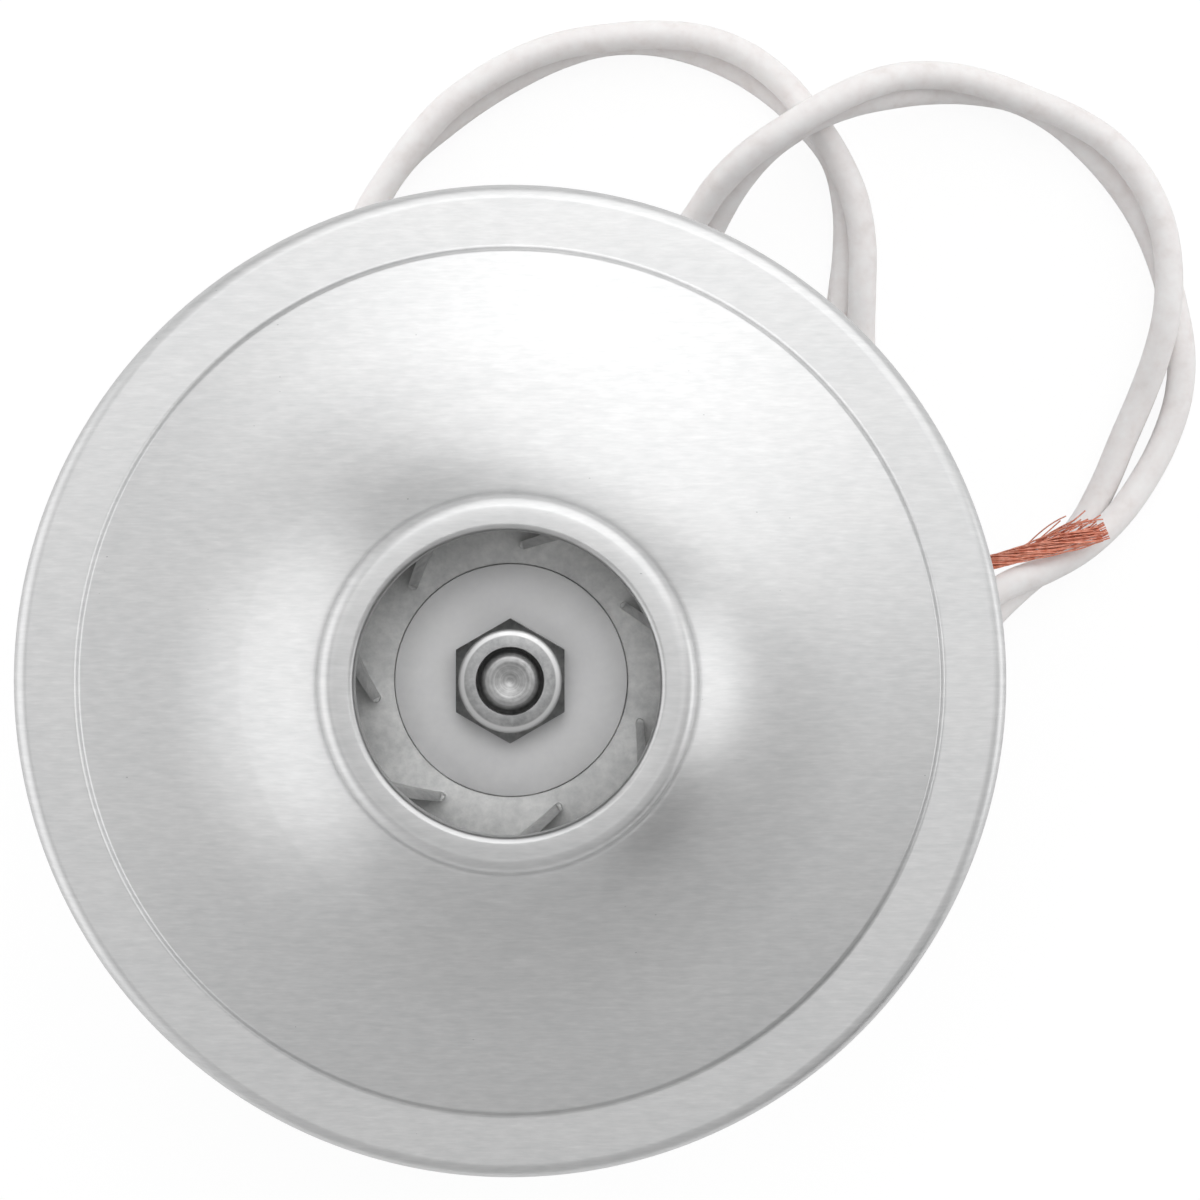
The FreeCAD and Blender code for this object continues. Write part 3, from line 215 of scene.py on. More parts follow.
LEAD_B_POINTS = [
    (45.0, -2.6, 14.0), (51.5, -2.3, 13.7), (57.5, -0.5, 12.2), (62.1, 3.1, 9.6), (66.0, 7.7, 7.0),
    (70.4, 11.7, 4.5), (75.3, 15.7, 2.9), (79.4, 20.6, 2.2), (82.5, 26.3, 2.0), (85.0, 32.3, 2.2),
    (87.5, 38.3, 3.0), (89.5, 44.2, 4.7), (90.8, 50.4, 6.1), (91.0, 56.9, 6.3), (89.9, 63.2, 6.3),
    (87.1, 69.1, 6.3), (82.9, 74.0, 6.3), (77.5, 77.5, 6.3), (71.5, 80.1, 6.3), (65.4, 82.4, 6.4),
    (59.2, 83.5, 7.6), (53.2, 83.1, 10.1), (47.6, 81.3, 12.8), (42.0, 78.5, 14.3), (36.4, 75.1, 14.4),
    (31.2, 71.5, 13.2), (27.0, 67.4, 10.5), (23.6, 62.6, 7.7), (19.3, 58.2, 5.7), (14.2, 54.7, 3.8),
    (8.4, 52.1, 2.6), (2.2, 50.2, 2.1), (-4.2, 49.1, 2.0), (-10.7, 49.1, 2.0), (-16.9, 50.9, 2.0),
    (-21.6, 55.3, 2.0), (-22.7, 61.6, 2.0), (-20.4, 67.6, 2.0), (-16.6, 72.9, 2.0), (-11.7, 77.1, 2.0),
    (-6.4, 81.0, 2.0), (-0.9, 84.3, 2.0), (5.0, 87.1, 2.0), (11.2, 88.9, 2.0), (17.7, 89.1, 2.0),
    (24.0, 87.8, 2.0), (30.1, 85.3, 2.0), (35.5, 81.8, 2.0), (40.2, 77.4, 2.0), (44.1, 72.2, 2.0),
    (45.7, 65.9, 2.0), (45.8, 59.4, 2.0), (45.1, 53.0, 2.0), (44.4, 46.5, 2.1), (44.2, 40.0, 2.2),
]
COPPER_A_POINTS = [(62.2, 14.4, 9.0), (68.4, 15.4, 10.6), (75.2, 17.6, 10.9), (82.4, 20.4, 11.0)]
COPPER_B_POINTS = [(44.2, 40.0, 2.2), (44.3, 34.6, 1.9), (44.8, 30.0, 1.7), (45.5, 26.0, 1.6)]

# Colours and materials


def linear(hex_colour):
    """An sRGB hex colour as the linear values that a shader takes."""
    channels = []
    for start in (0, 2, 4):
        value = int(hex_colour[start:start + 2], 16) / 255
        channels.append(value / 12.92 if value <= 0.04045 else ((value + 0.055) / 1.055) ** 2.4)
    return (*channels, 1.0)


def feed(tree, socket, source):
    """A socket linked to another one, or set to a value."""
    if isinstance(source, bpy.types.NodeSocket):
        tree.links.new(source, socket)
    else:
        socket.default_value = source


def add(tree, kind, links=None, **settings):
    """One node with its settings, and its inputs from sockets or values."""
    made = tree.nodes.new(kind)
    for key, value in settings.items():
        setattr(made, key, value)
    for socket, source in (links or {}).items():
        feed(tree, made.inputs[socket], source)
    return made


def blank_tree(owner):
    """The emptied node tree of a material or world."""
    owner.use_nodes = True
    owner.node_tree.nodes.clear()
    return owner.node_tree


def new_material(name, **principled):
    """A material with a Principled shader, and its tree and object coordinates."""
    material = bpy.data.materials.new(name)
    tree = blank_tree(material)
    shader = add(tree, "ShaderNodeBsdfPrincipled", principled)
    add(tree, "ShaderNodeOutputMaterial", {"Surface": shader.outputs["BSDF"]})
    return material, tree, add(tree, "ShaderNodeTexCoord").outputs["Object"]


def maths(tree, operation, *values, **settings):
    """The result of a Math node."""
    node = add(tree, "ShaderNodeMath", dict(enumerate(values)), operation=operation, **settings)
    return node.outputs["Value"]


def vector(tree, **parts):
    """A vector from its X, Y and Z."""
    return add(tree, "ShaderNodeCombineXYZ", parts).outputs["Vector"]


def apart(tree, place):
    """The X, Y and Z sockets of a place."""
    return add(tree, "ShaderNodeSeparateXYZ", {"Vector": place}).outputs


def axis_distance(tree, parts):
    """How far a place lies from the shaft's axis."""
    flat = vector(tree, X=parts["X"], Y=parts["Y"])
    return add(tree, "ShaderNodeVectorMath", {0: flat}, operation="LENGTH").outputs["Value"]


def noise(tree, place, size_mm, detail=2.0, roughness=0.5, seed=0.0):
    """Noise whose features measure size_mm, on each axis alike or as three sizes."""
    sizes = size_mm if isinstance(size_mm, tuple) else (size_mm,) * 3
    scale = tuple(1 / (MM * size) for size in sizes)
    mapping = add(tree, "ShaderNodeMapping", {"Vector": place, "Scale": scale, "Location": (seed,) * 3})
    made = add(tree, "ShaderNodeTexNoise", {"Vector": mapping.outputs["Vector"], "Scale": 1.0,
                                            "Detail": detail, "Roughness": roughness})
    return made.outputs["Fac"]


def ramp(tree, value, stops):
    """A colour ramp with hex colours or grey levels at given places."""
    node = add(tree, "ShaderNodeValToRGB", {"Fac": value})
    elements = node.color_ramp.elements
    while len(elements) < len(stops):
        elements.new(0.5)
    for element, (position, colour) in zip(elements, stops):
        element.position = position
        element.color = linear(colour) if isinstance(colour, str) else (colour, colour, colour, 1)
    return node.outputs["Color"]


def mixed(tree, factor, first, second, blend="MIX"):
    """Two colours mixed by a factor. The colour sockets go by number, as others share their names."""
    sockets = {"Factor": factor, 6: first, 7: second}
    return add(tree, "ShaderNodeMix", sockets, data_type="RGBA", blend_type=blend).outputs[2]


def levels(tree, value, low, high, start=0.0, end=1.0):
    """A value that runs from start to end, spread between two levels."""
    sockets = {"Value": value, "From Min": start, "From Max": end, "To Min": low, "To Max": high}
    return add(tree, "ShaderNodeMapRange", sockets).outputs["Result"]


def surface(material, tone, rough=None, bump=None):
    """The material with its colour, roughness (value, low, high) and bump (height, depth, strength)."""
    tree = material.node_tree
    inputs = tree.nodes["Principled BSDF"].inputs
    feed(tree, inputs["Base Color"], tone)
    if rough:
        feed(tree, inputs["Roughness"], levels(tree, *rough))
    if bump:
        height, depth, strength = bump
        node = add(tree, "ShaderNodeBump", {"Height": height, "Distance": depth * MM, "Strength": strength})
        feed(tree, inputs["Normal"], node.outputs["Normal"])
    return material


def rolled_aluminium():
    """Rolled aluminium sheet: fine straight streaks along X that survive the drawing, few specks."""
    material, tree, place = new_material("rolled_aluminium_cover", Metallic=1.0)
    # The wall was flat sheet before it was drawn, so its depth carries the streaks on in the sheet's plane
    parts = apart(tree, place)
    depth = maths(tree, "SUBTRACT", COVER_STEP[1] * MM, parts["Z"], use_clamp=True)
    share = maths(tree, "DIVIDE", parts["Y"], COVER_R * MM)
    across = maths(tree, "MULTIPLY_ADD", depth, share, parts["Y"])
    sheet = vector(tree, X=parts["X"], Y=across, Z=parts["Z"])
    streaks = noise(tree, sheet, (3.0, 0.36, 24.0), detail=3.0, roughness=0.6)
    hairs = noise(tree, sheet, (1.4, 0.24, 12.0), seed=7.0)
    clouds = noise(tree, place, (24.0, 10.0, 24.0), seed=3.0)
    dents = noise(tree, sheet, (2.4, 0.8, 9.0), seed=5.0)
    specks = noise(tree, place, (0.6, 0.35, 0.6), detail=0.0, seed=11.0)
    grain = mixed(tree, 0.4, streaks, hairs)
    tone = ramp(tree, grain, [(0.30, "CECFCF"), (0.52, "DBDBDB"), (0.72, "E8E8E8")])
    tone = mixed(tree, 0.35, tone, ramp(tree, clouds, [(0.35, "D6D7D8"), (0.65, "DFDFDF")]))
    tone = mixed(tree, 0.3, tone, ramp(tree, dents, [(0.3, "CFD0D0"), (0.5, "DBDBDB"), (0.75, "EAEAEA")]))
    dust = ramp(tree, specks, [(0.0, 1.0), (0.07, 1.0), (0.09, 0.0), (1.0, 0.0)])
    tone = mixed(tree, dust, tone, linear("A2A3A4"))
    # Painted shade: the rolled lip is coloured a shade darker than the sheet round it, standing in for the
    # dimmer light that its land reflects
    start, end = (radius * MM for radius in PAINTED_LIP_SHADE_EDGE)
    painted_lip_shade = levels(tree, axis_distance(tree, parts), PAINTED_LIP_SHADE_LEVEL, 1.0, start, end)
    tone = mixed(tree, 1.0, tone, painted_lip_shade, "MULTIPLY")
    return surface(material, tone, (grain, 0.36, 0.44), (mixed(tree, 0.4, grain, dents), 0.018, 0.4))


def mottled_metal(name, light, dark, roughness, patch_mm=1.6, bump_mm=0.004, painted_highlight_ring=None):
    """A metal sheet with soft patches of tone, as zinc plate or an unpolished blank has."""
    material, tree, place = new_material(name, Metallic=1.0)
    patches = noise(tree, place, patch_mm, detail=3.0, roughness=0.6)
    broad = noise(tree, place, patch_mm * 5, detail=1.0, seed=4.0)
    tone = mixed(tree, 0.4, ramp(tree, patches, [(0.32, dark), (0.68, light)]),
                 ramp(tree, broad, [(0.3, dark), (0.7, light)]))
    if painted_highlight_ring:
        # Painted highlight: a lighter ring between these two radii stands for the light that the nut's
        # chamfer reflects
        inner, outer = (radius * MM for radius in painted_highlight_ring)
        share = levels(tree, axis_distance(tree, apart(tree, place)), 0.0, 1.0, inner, outer)
        ring = ramp(tree, share, [(0.0, 0.0), (0.2, 1.0), (0.9, 1.0), (1.0, 0.0)])
        tone = mixed(tree, ring, tone, linear("DCDCDC"))
    return surface(material, tone, (patches, roughness - 0.06, roughness + 0.08), (patches, bump_mm, 0.6))


def turned_metal(name, light, dark, roughness, groove_mm, face=False, bump_mm=0.003):
    """A turned or ground metal: fine tool lines round the shaft's axis, spread along Z or over a face."""
    material, tree, place = new_material(name, Metallic=1.0)
    parts = apart(tree, place)
    line = vector(tree, X=axis_distance(tree, parts) if face else parts["Z"])
    lines = add(tree, "ShaderNodeTexNoise", {"Vector": line, "Scale": 1 / (groove_mm * MM), "Detail": 2.0})
    grain = mixed(tree, 0.35, lines.outputs["Fac"], noise(tree, place, 0.7, detail=3.0))
    tone = ramp(tree, grain, [(0.3, dark), (0.7, light)])
    return surface(material, tone, (grain, roughness - 0.05, roughness + 0.09), (grain, bump_mm, 0.7))


def lamination_steel():
    """Electrical steel stack: sheets of 0.65 mm seen edge on, dark varnish between them."""
    material, tree, place = new_material("lamination_steel", Metallic=1.0)
    parts = apart(tree, place)
    sheets = maths(tree, "MULTIPLY", parts["Z"], 1 / (0.65 * MM))
    edge = ramp(tree, maths(tree, "FRACT", sheets), [(0.0, 0.0), (0.16, 1.0), (0.86, 1.0), (1.0, 0.0)])
    # Whole numbers for the height give every sheet its own marks, so that its edges stay straight
    spot = vector(tree, X=parts["X"], Y=parts["Y"], Z=maths(tree, "FLOOR", sheets))
    mottle = noise(tree, spot, (5.0, 5.0, 400.0), detail=3.0)
    tone = mixed(tree, edge, linear("2C2B2B"), ramp(tree, mottle, [(0.3, "616264"), (0.7, "7F8083")]))
    return surface(material, tone, (mottle, 0.42, 0.58), (edge, 0.03, 0.4))


def grained(name, size_mm, detail, roughness, stops, rough=None, bump=None, **principled):
    """A material whose tone, roughness and bump all follow one noise."""
    material, tree, place = new_material(name, **principled)
    grain = noise(tree, place, size_mm, detail, roughness)
    return surface(material, ramp(tree, grain, stops), rough and (grain, *rough), bump and (grain, *bump))


def moulded(name, light, dark, roughness, grain_mm, bump_mm):
    """A moulded plastic or rubber: even colour with a fine spark-eroded grain."""
    material, tree, place = new_material(name, IOR=1.5)
    grain = noise(tree, place, grain_mm, detail=3.0, roughness=0.6)
    cloud = noise(tree, place, grain_mm * 14, detail=1.0, seed=2.0)
    tone = ramp(tree, mixed(tree, 0.5, grain, cloud), [(0.3, dark), (0.7, light)])
    return surface(material, tone, (grain, roughness - 0.06, roughness + 0.08), (grain, bump_mm, 0.8))


FINISHES = {
    "cover_aluminium": rolled_aluminium(),
    "fan_aluminium": mottled_metal("mottled_fan_aluminium", "F2F2F1", "C9CACA", 0.58, 1.2),
    "bracket_zinc_steel": mottled_metal("zinc_plated_bracket_steel", "C4C7C9", "9FA3A7", 0.34, 2.2),
    "screw_zinc_steel": mottled_metal("bright_zinc_screw_steel", "D2D4D6", "B3B6B9", 0.24, 1.0, 0.002),
    # The nut's material carries a painted highlight ring on its chamfer
    "nut_zinc_steel": mottled_metal("plated_nut_steel", "B9B9B9", "8B8C8D", 0.36, 0.8,
                                    painted_highlight_ring=NUT_PAINTED_HIGHLIGHT_RING),
    "washer_zinc_steel": mottled_metal("satin_plated_washer_steel", "EDEDED", "DEDEDF", 0.50, 3.0, 0.002),
    "spacer_steel": turned_metal("turned_spacer_steel", "C3C3C3", "9C9C9D", 0.3, 0.2),
    "shaft_steel": turned_metal("ground_shaft_steel", "CACACA", "868686", 0.36, 0.34, True, 0.008),
    "bearing_steel": turned_metal("bearing_ring_steel", "CDCECF", "A9AAAC", 0.18, 0.15, True),
    "spring_steel": mottled_metal("blued_spring_steel", "8C8E92", "5E6064", 0.34, 1.2, 0.002),
    "lamination_steel": lamination_steel(),
    # Winding wire: copper under clear amber enamel, glossy, each turn a little different
    "enamelled_copper": grained(
        "enamelled_copper_wire", 1.2, 2.0, 0.5, [(0.3, "7E3A1B"), (0.5, "A8552A"), (0.72, "C2733C")],
        (0.25, 0.4), Metallic=0.85, IOR=1.5, **{"Coat Weight": 0.6, "Coat Roughness": 0.12}),
    # Bare copper, drawn or turned, dulled in places by handling
    "bare_copper": grained("bare_stranded_copper", 0.9, 3.0, 0.6, [(0.3, "D77C60"), (0.7, "F8BBA6")],
                           (0.35, 0.52), (0.003, 0.5), Metallic=1.0),
    "commutator_copper": grained("turned_commutator_copper", 0.9, 3.0, 0.6,
                                 [(0.3, "8C4F34"), (0.7, "C98561")], (0.23, 0.4), (0.003, 0.5), Metallic=1.0),
    "holder_brass": mottled_metal("folded_holder_brass", "D8BC78", "B4944F", 0.28, 1.8, 0.002),
    "diffuser_moulding": moulded("glass_filled_diffuser_nylon", "2B2B2D", "1B1B1C", 0.5, 0.35, 0.02),
    "housing_moulding": moulded("moulded_brush_housing_polyester", "2E2E2F", "1D1D1E", 0.45, 0.3, 0.02),
    "hub_moulding": moulded("phenolic_commutator_hub", "3A241A", "241510", 0.42, 0.3, 0.02),
    "damper_rubber": moulded("black_rubber", "242424", "161616", 0.62, 0.5, 0.03),
    # Pressed carbon-graphite: near black, dull, with a fine open grain
    "brush_carbon": grained("pressed_carbon", 0.25, 4.0, 0.7, [(0.3, "141415"), (0.75, "3A3A3C")],
                            (0.5, 0.7), (0.02, 0.7), IOR=1.8, Metallic=0.2),
    # Silicone lead insulation: soft white, faintly translucent, a little grey from handling
    "lead_silicone": grained(
        "white_silicone", 3.0, 3.0, 0.65, [(0.28, "EFEAE8"), (0.45, "F6F2F1"), (0.7, "FBF9F8")],
        bump=(0.02, 0.3), Roughness=0.42, IOR=1.43,
        **{"Subsurface Weight": 0.12, "Subsurface Scale": 0.0012, "Subsurface Radius": (1.0, 0.9, 0.85)}),
}
NODE_SLOTS = {part["node"]: part["material_slot"] for part in frame["record"]["subparts"]}
NODE_BODIES = {node: body for body, members in frame["record"]["behaviour"]["bodies"].items()
               for node in members}


# Meshes


def new_object(name, mesh):
    """A mesh object in the scene, at the origin."""
    made = bpy.data.objects.new(name, mesh)
    bpy.context.scene.collection.objects.link(made)
    return made


def object_from(bm, name):
    """A bmesh as an object in the scene."""
    mesh = bpy.data.meshes.new(name)
    bm.to_mesh(mesh)
    bm.free()
    return new_object(name, mesh)


def on_circle(radius, angle):
    """The x and y of a place on a circle about the shaft's axis."""
    return radius * math.cos(angle), radius * math.sin(angle)


def smooth_mesh(mesh, sharp_deg=35.0):
    """Smooth shading with the sharp edges kept."""
    mesh.polygons.foreach_set("use_smooth", [True] * len(mesh.polygons))
    mesh.set_sharp_from_angle(angle=math.radians(sharp_deg))


def modified(piece, kind, **settings):
    """The piece with a modifier run and applied."""
    modifier = piece.modifiers.new(kind, kind)
    for key, value in settings.items():
        setattr(modifier, key, value)
    graph = bpy.context.evaluated_depsgraph_get()
    mesh = bpy.data.meshes.new_from_object(piece.evaluated_get(graph))
    piece.modifiers.clear()
    old = piece.data
    piece.data = mesh
    mesh.name = piece.name
    bpy.data.meshes.remove(old)
    return piece


def arc_points(before, corner, after, radius, step_deg):
    """The points of the arc that rounds a corner of a section."""
    back = (before - corner).normalized()
    ahead = (after - corner).normalized()
    turn = math.pi - back.angle(ahead)
    if radius <= 0 or turn < 1e-4:
        return [corner]
    start = corner + back * (radius * math.tan(turn / 2))
    centre = corner + (back + ahead).normalized() * (radius / math.cos(turn / 2))
    side = 1 if back.x * ahead.y - back.y * ahead.x < 0 else -1
    count = max(2, math.ceil(math.degrees(turn) / step_deg))
    return [centre + Matrix.Rotation(side * turn * step / count, 2) @ (start - centre)
            for step in range(count + 1)]


def rounded_section(corners, radii):
    """An open section with each corner rounded by its radius."""
    points = [corners[0]]
    for before, corner, after, radius in zip(corners, corners[1:], corners[2:], radii):
        points += arc_points(before, corner, after, radius, 6)
    return points + [corners[-1]]


def closed_section(corners, radius, step_deg=22.5):
    """A closed section with every corner rounded alike."""
    corners = [Vector(corner) for corner in corners]
    points = []
    for index, corner in enumerate(corners):
        before = corners[index - 1]
        after = corners[(index + 1) % len(corners)]
        limit = 0.45 * min((before - corner).length, (after - corner).length)
        points += arc_points(before, corner, after, min(radius, limit), step_deg)
    return points


def offset_section(corners, distance):
    """A section's corners moved to the right of its direction, mitred."""
    runs = [(after - before).normalized() for before, after in zip(corners, corners[1:])]
    sides = [Vector((run.y, -run.x)) for run in runs]
    moved = [corners[0] + sides[0] * distance]
    for corner, side, next_side in zip(corners[1:], sides, sides[1:]):
        mitre = side + next_side
        moved.append(corner + mitre * (2 * distance / mitre.dot(mitre)))
    return moved + [corners[-1] + sides[-1] * distance]


def sheet_section(corners, radii, sheet):
    """The closed section of a drawn sheet: its outside, rounded edges and its inside."""
    corners = [Vector(corner) for corner in corners]
    outside = rounded_section(corners, radii)
    inside_radii = []
    for before, corner, after, radius in zip(corners, corners[1:], corners[2:], radii):
        run, ahead = corner - before, after - corner
        turns_right = run.x * ahead.y - run.y * ahead.x < 0
        inside_radii.append(max(radius - sheet, 0.02) if turns_right else radius + sheet)
    section = outside + rounded_section(offset_section(corners, sheet), inside_radii)[::-1]
    edges = (0, len(outside) - 1, len(outside), len(section) - 1)
    points = []
    for index, point in enumerate(section):
        after = section[(index + 1) % len(section)]
        points += arc_points(section[index - 1], point, after, 0.25, 30) if index in edges else [point]
    return points


def lathe(name, section, steps=192, radius_at=None):
    """A closed section turned about the shaft's axis. radius_at may change a corner with the angle."""
    bm = bmesh.new()
    rings = []
    for step in range(steps):
        angle = 2 * math.pi * step / steps
        ring = []
        for index, point in enumerate(section):
            radius, height = radius_at(point, angle) if radius_at else point
            if step and abs(radius) < 1e-6:
                ring.append(rings[0][index])
            else:
                x, y = on_circle(radius, angle)
                ring.append(bm.verts.new((x * MM, y * MM, height * MM)))
        rings.append(ring)
    for here, there in zip(rings, rings[1:] + rings[:1]):
        for index in range(len(section)):
            following = (index + 1) % len(section)
            corners = dict.fromkeys((here[index], there[index], there[following], here[following]))
            if len(corners) >= 3:
                bm.faces.new(tuple(corners))
    bmesh.ops.recalc_face_normals(bm, faces=bm.faces)
    piece = object_from(bm, name)
    smooth_mesh(piece.data)
    return piece


def eased(piece, bevel_mm):
    """The piece with its sharp edges rounded a little."""
    if bevel_mm:
        modified(piece, "BEVEL", width=bevel_mm * MM, segments=2, limit_method="ANGLE",
                 angle_limit=math.radians(40), use_clamp_overlap=True)
    smooth_mesh(piece.data)
    return piece


def dressed_mesh(name, node, bevel_mm=0, inset_mm=0):
    """A copy of a CAD node, its doubles merged and flats joined, with its edges eased or its sides set in."""
    mesh = nodes[node].data.copy()
    mesh.materials.clear()
    bm = bmesh.new()
    bm.from_mesh(mesh)
    bmesh.ops.remove_doubles(bm, verts=bm.verts, dist=0.002 * MM)
    bmesh.ops.dissolve_limit(bm, angle_limit=math.radians(0.3), verts=bm.verts, edges=bm.edges)
    if inset_mm:
        bm.normal_update()
        for vert in bm.verts:
            vert.co -= vert.normal * (inset_mm * MM)
    bm.to_mesh(mesh)
    bm.free()
    mesh.name = name
    return eased(new_object(name, mesh), bevel_mm)


def stand_for(piece, node):
    """A piece that replaces a CAD node, with its material, body and slot."""
    slot = NODE_SLOTS[node]
    piece.data.materials.clear()
    piece.data.materials.append(FINISHES[slot])
    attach(piece, NODE_BODIES[node])
    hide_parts(node)
    return piece


def extent(node):
    """A CAD node's reach from the shaft's axis along x, its lowest z and its highest z."""
    low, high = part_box(node)
    return high.x / MM, low.z / MM, high.z / MM


def wires(name, paths, radius_mm, closed=False):
    """Round wires along paths, as one piece, by a node tree that is run and applied."""
    verts = []
    edges = []
    for path in paths:
        first = len(verts)
        verts += [Vector(point) * MM for point in path]
        edges += [(first + step, first + step + 1) for step in range(len(path) - 1)]
        if closed:
            edges.append((len(verts) - 1, first))
    mesh = bpy.data.meshes.new(name)
    mesh.from_pydata(verts, edges, [])
    piece = new_object(name, mesh)
    tree = bpy.data.node_groups.new("wire along paths", "GeometryNodeTree")
    for in_out in ("INPUT", "OUTPUT"):
        tree.interface.new_socket("Geometry", in_out=in_out, socket_type="NodeSocketGeometry")
    source = add(tree, "NodeGroupInput")
    curve = add(tree, "GeometryNodeMeshToCurve", {"Mesh": source.outputs["Geometry"]})
    circle = add(tree, "GeometryNodeCurvePrimitiveCircle", {"Resolution": WIRE_SIDES,
                                                            "Radius": radius_mm * MM})
    tube = add(tree, "GeometryNodeCurveToMesh", {"Curve": curve.outputs["Curve"],
                                                 "Profile Curve": circle.outputs["Curve"], "Fill Caps": True})
    smooth = add(tree, "GeometryNodeSetShadeSmooth", {"Geometry": tube.outputs["Mesh"]})
    add(tree, "NodeGroupOutput", {"Geometry": smooth.outputs["Geometry"]})
    return modified(piece, "NODES", node_group=tree)


# Fan cover, impeller and shaft


def make_fan_cover():
    """The drawn cover: rolled lip, trumpet cone, small step, flat ring and wall."""
    corners = [(INLET_R, LIP_NECK_Z), (INLET_R, LIP_TOP_Z), (CONE_FOOT[0], LIP_TOP_Z - LIP_LEAN), CONE_FOOT,
               *CONE_KNEES, COVER_STEP, (COVER_R, COVER_STEP[1]), (COVER_R, COVER_BOTTOM_Z)]
    stand_for(lathe("fan_cover_shell", sheet_section(corners, COVER_BENDS, COVER_SHEET), 256), "fan_cover")


def circle_through(first, middle, last):
    """Centre and radius of the circle through three flat points."""
    ax, ay, bx, by, cx, cy = *first, *middle, *last
    d = 2 * (ax * (by - cy) + bx * (cy - ay) + cx * (ay - by))
    squares = (ax * ax + ay * ay, bx * bx + by * by, cx * cx + cy * cy)
    x = (squares[0] * (by - cy) + squares[1] * (cy - ay) + squares[2] * (ay - by)) / d
    y = (squares[0] * (cx - bx) + squares[1] * (ax - cx) + squares[2] * (bx - ax)) / d
    centre = Vector((x, y))
    return centre, (centre - first).length


def blade_top(radius):
    """Height of a blade's upper edge: up the open nose, then under the front plate."""
    knees = [BLADE_NOSE, *((r, z - BLADE_TOP_GAP) for r, z in FAN_KNEES)]
    for (inner_r, inner_z), (outer_r, outer_z) in zip(knees, knees[1:]):
        if radius <= outer_r or outer_r == knees[-1][0]:
            return inner_z + (outer_z - inner_z) * (radius - inner_r) / (outer_r - inner_r)


def blade_outline():
    """A blade seen from above, as (place, distance from the axis) pairs, and how many make a long side."""
    places = [Vector(on_circle(r, math.radians(a))) for r, a in BLADE_ROUTE]
    centre, curve_r = circle_through(*places)
    turns = [math.atan2(place.y - centre.y, place.x - centre.x) for place in places]
    sweep = (turns[2] - turns[0] + math.pi) % (2 * math.pi) - math.pi
    half = BLADE_SHEET / 2
    middles = []
    for step in range(BLADE_STEPS + 1):
        outward = Vector(on_circle(1, turns[0] + sweep * step / BLADE_STEPS))
        place = centre + curve_r * outward
        if BLADE_ROOT_R + half < place.length < FAN_R - BLADE_RIM_GAP:
            middles.append((place, outward))
    nose, outward = middles[0]
    back = (nose - middles[1][0]).normalized()
    left = [place + side * half for place, side in middles]
    right = [place - side * half for place, side in middles]
    cap = [nose + outward * half * math.cos(math.radians(a)) + back * half * math.sin(math.radians(a))
           for a in range(30, 180, 30)]
    reaches = [(place, place.length) for place in left[::-1]] + [(place, nose.length) for place in cap]
    return reaches + [(place, place.length) for place in right], len(left)


def make_blades(bottom):
    """Backward-curved sheet blades with rounded ends, swept in from the rim to the eye."""
    outline, count = blade_outline()
    bm = bmesh.new()
    for blade in range(BLADE_COUNT):
        turn = Matrix.Rotation(math.radians(BLADE_FIRST_DEG) + 2 * math.pi * blade / BLADE_COUNT, 2)
        low, high = [], []
        for flat, reach in outline:
            place = turn @ flat
            low.append(bm.verts.new((place.x * MM, place.y * MM, bottom * MM)))
            high.append(bm.verts.new((place.x * MM, place.y * MM, blade_top(reach) * MM)))
        for ring in (low, high):
            for step in range(count - 1):
                bm.faces.new((ring[step], ring[step + 1], ring[-step - 2], ring[-step - 1]))
            bm.faces.new(ring[count - 1:1 - count])
        for step in range(len(outline)):
            following = (step + 1) % len(outline)
            bm.faces.new((low[step], low[following], high[following], high[step]))
    bmesh.ops.recalc_face_normals(bm, faces=bm.faces)
    return eased(object_from(bm, "impeller_blade_set"), BLADE_EASED)


def make_impeller():
    """Front plate with its eye, back plate with its raised centre, and the blades between them."""
    section = sheet_section([(EYE_R, EYE_TOP_Z), *FAN_KNEES], FAN_BENDS, FAN_SHEET)
    stand_for(lathe("impeller_front_plate", section), "impeller_shroud")
    bottom, top = extent("impeller_backplate")[1:]
    washer_r, _, washer_top = extent("clamp_washer")
    seat_z = washer_top - WASHER_PROUD
    groove_z = seat_z - WASHER_GROOVE_DEPTH
    groove_r, seat_r = washer_r + WASHER_GAP, washer_r - WASHER_SEAT_WIDTH
    section = closed_section([
        (SHAFT_HOLE_R, bottom), (FAN_R, bottom), (FAN_R, top), (EYE_R + RAISED_CENTRE_SLOPE, top),
        (EYE_R, seat_z), (groove_r, seat_z), (groove_r, groove_z), (seat_r, groove_z), (seat_r, top),
        (SHAFT_HOLE_R, top)], 0.1)
    stand_for(lathe("impeller_back_plate", section), "impeller_backplate")
    stand_for(make_blades(bottom=top), "impeller_blades")


def make_clamp():
    """Clamp washer and nut."""
    outer, bottom, top = extent("clamp_washer")
    corners = [(SHAFT_HOLE_R, bottom), (outer, bottom), (outer, top), (SHAFT_HOLE_R, top)]
    stand_for(lathe("clamp_washer_disc", closed_section(corners, 0.07), 160), "clamp_washer")

    bottom, top = extent("impeller_nut")[1:]
    slope = math.tan(math.radians(NUT_CHAMFER_DEG))
    section = [*((radius, bottom + up) for radius, up in NUT_FOOT), ("flat", "low"), ("flat", "high"),
               *((radius, top - down) for radius, down in NUT_CROWN)]

    def nut_point(point, angle):
        if point[0] != "flat":
            return point
        from_flat = (angle + math.pi / 6) % (math.pi / 3) - math.pi / 6
        radius = NUT_FLATS / 2 / math.cos(from_flat)
        drop = (radius - NUT_CROWN[0][0]) * slope + NUT_CROWN[0][1]
        return radius, (bottom + drop if point[1] == "low" else top - drop)

    nut = lathe("impeller_nut_m8", section, 180, nut_point)
    smooth_mesh(nut.data, 24)
    stand_for(nut, "impeller_nut")


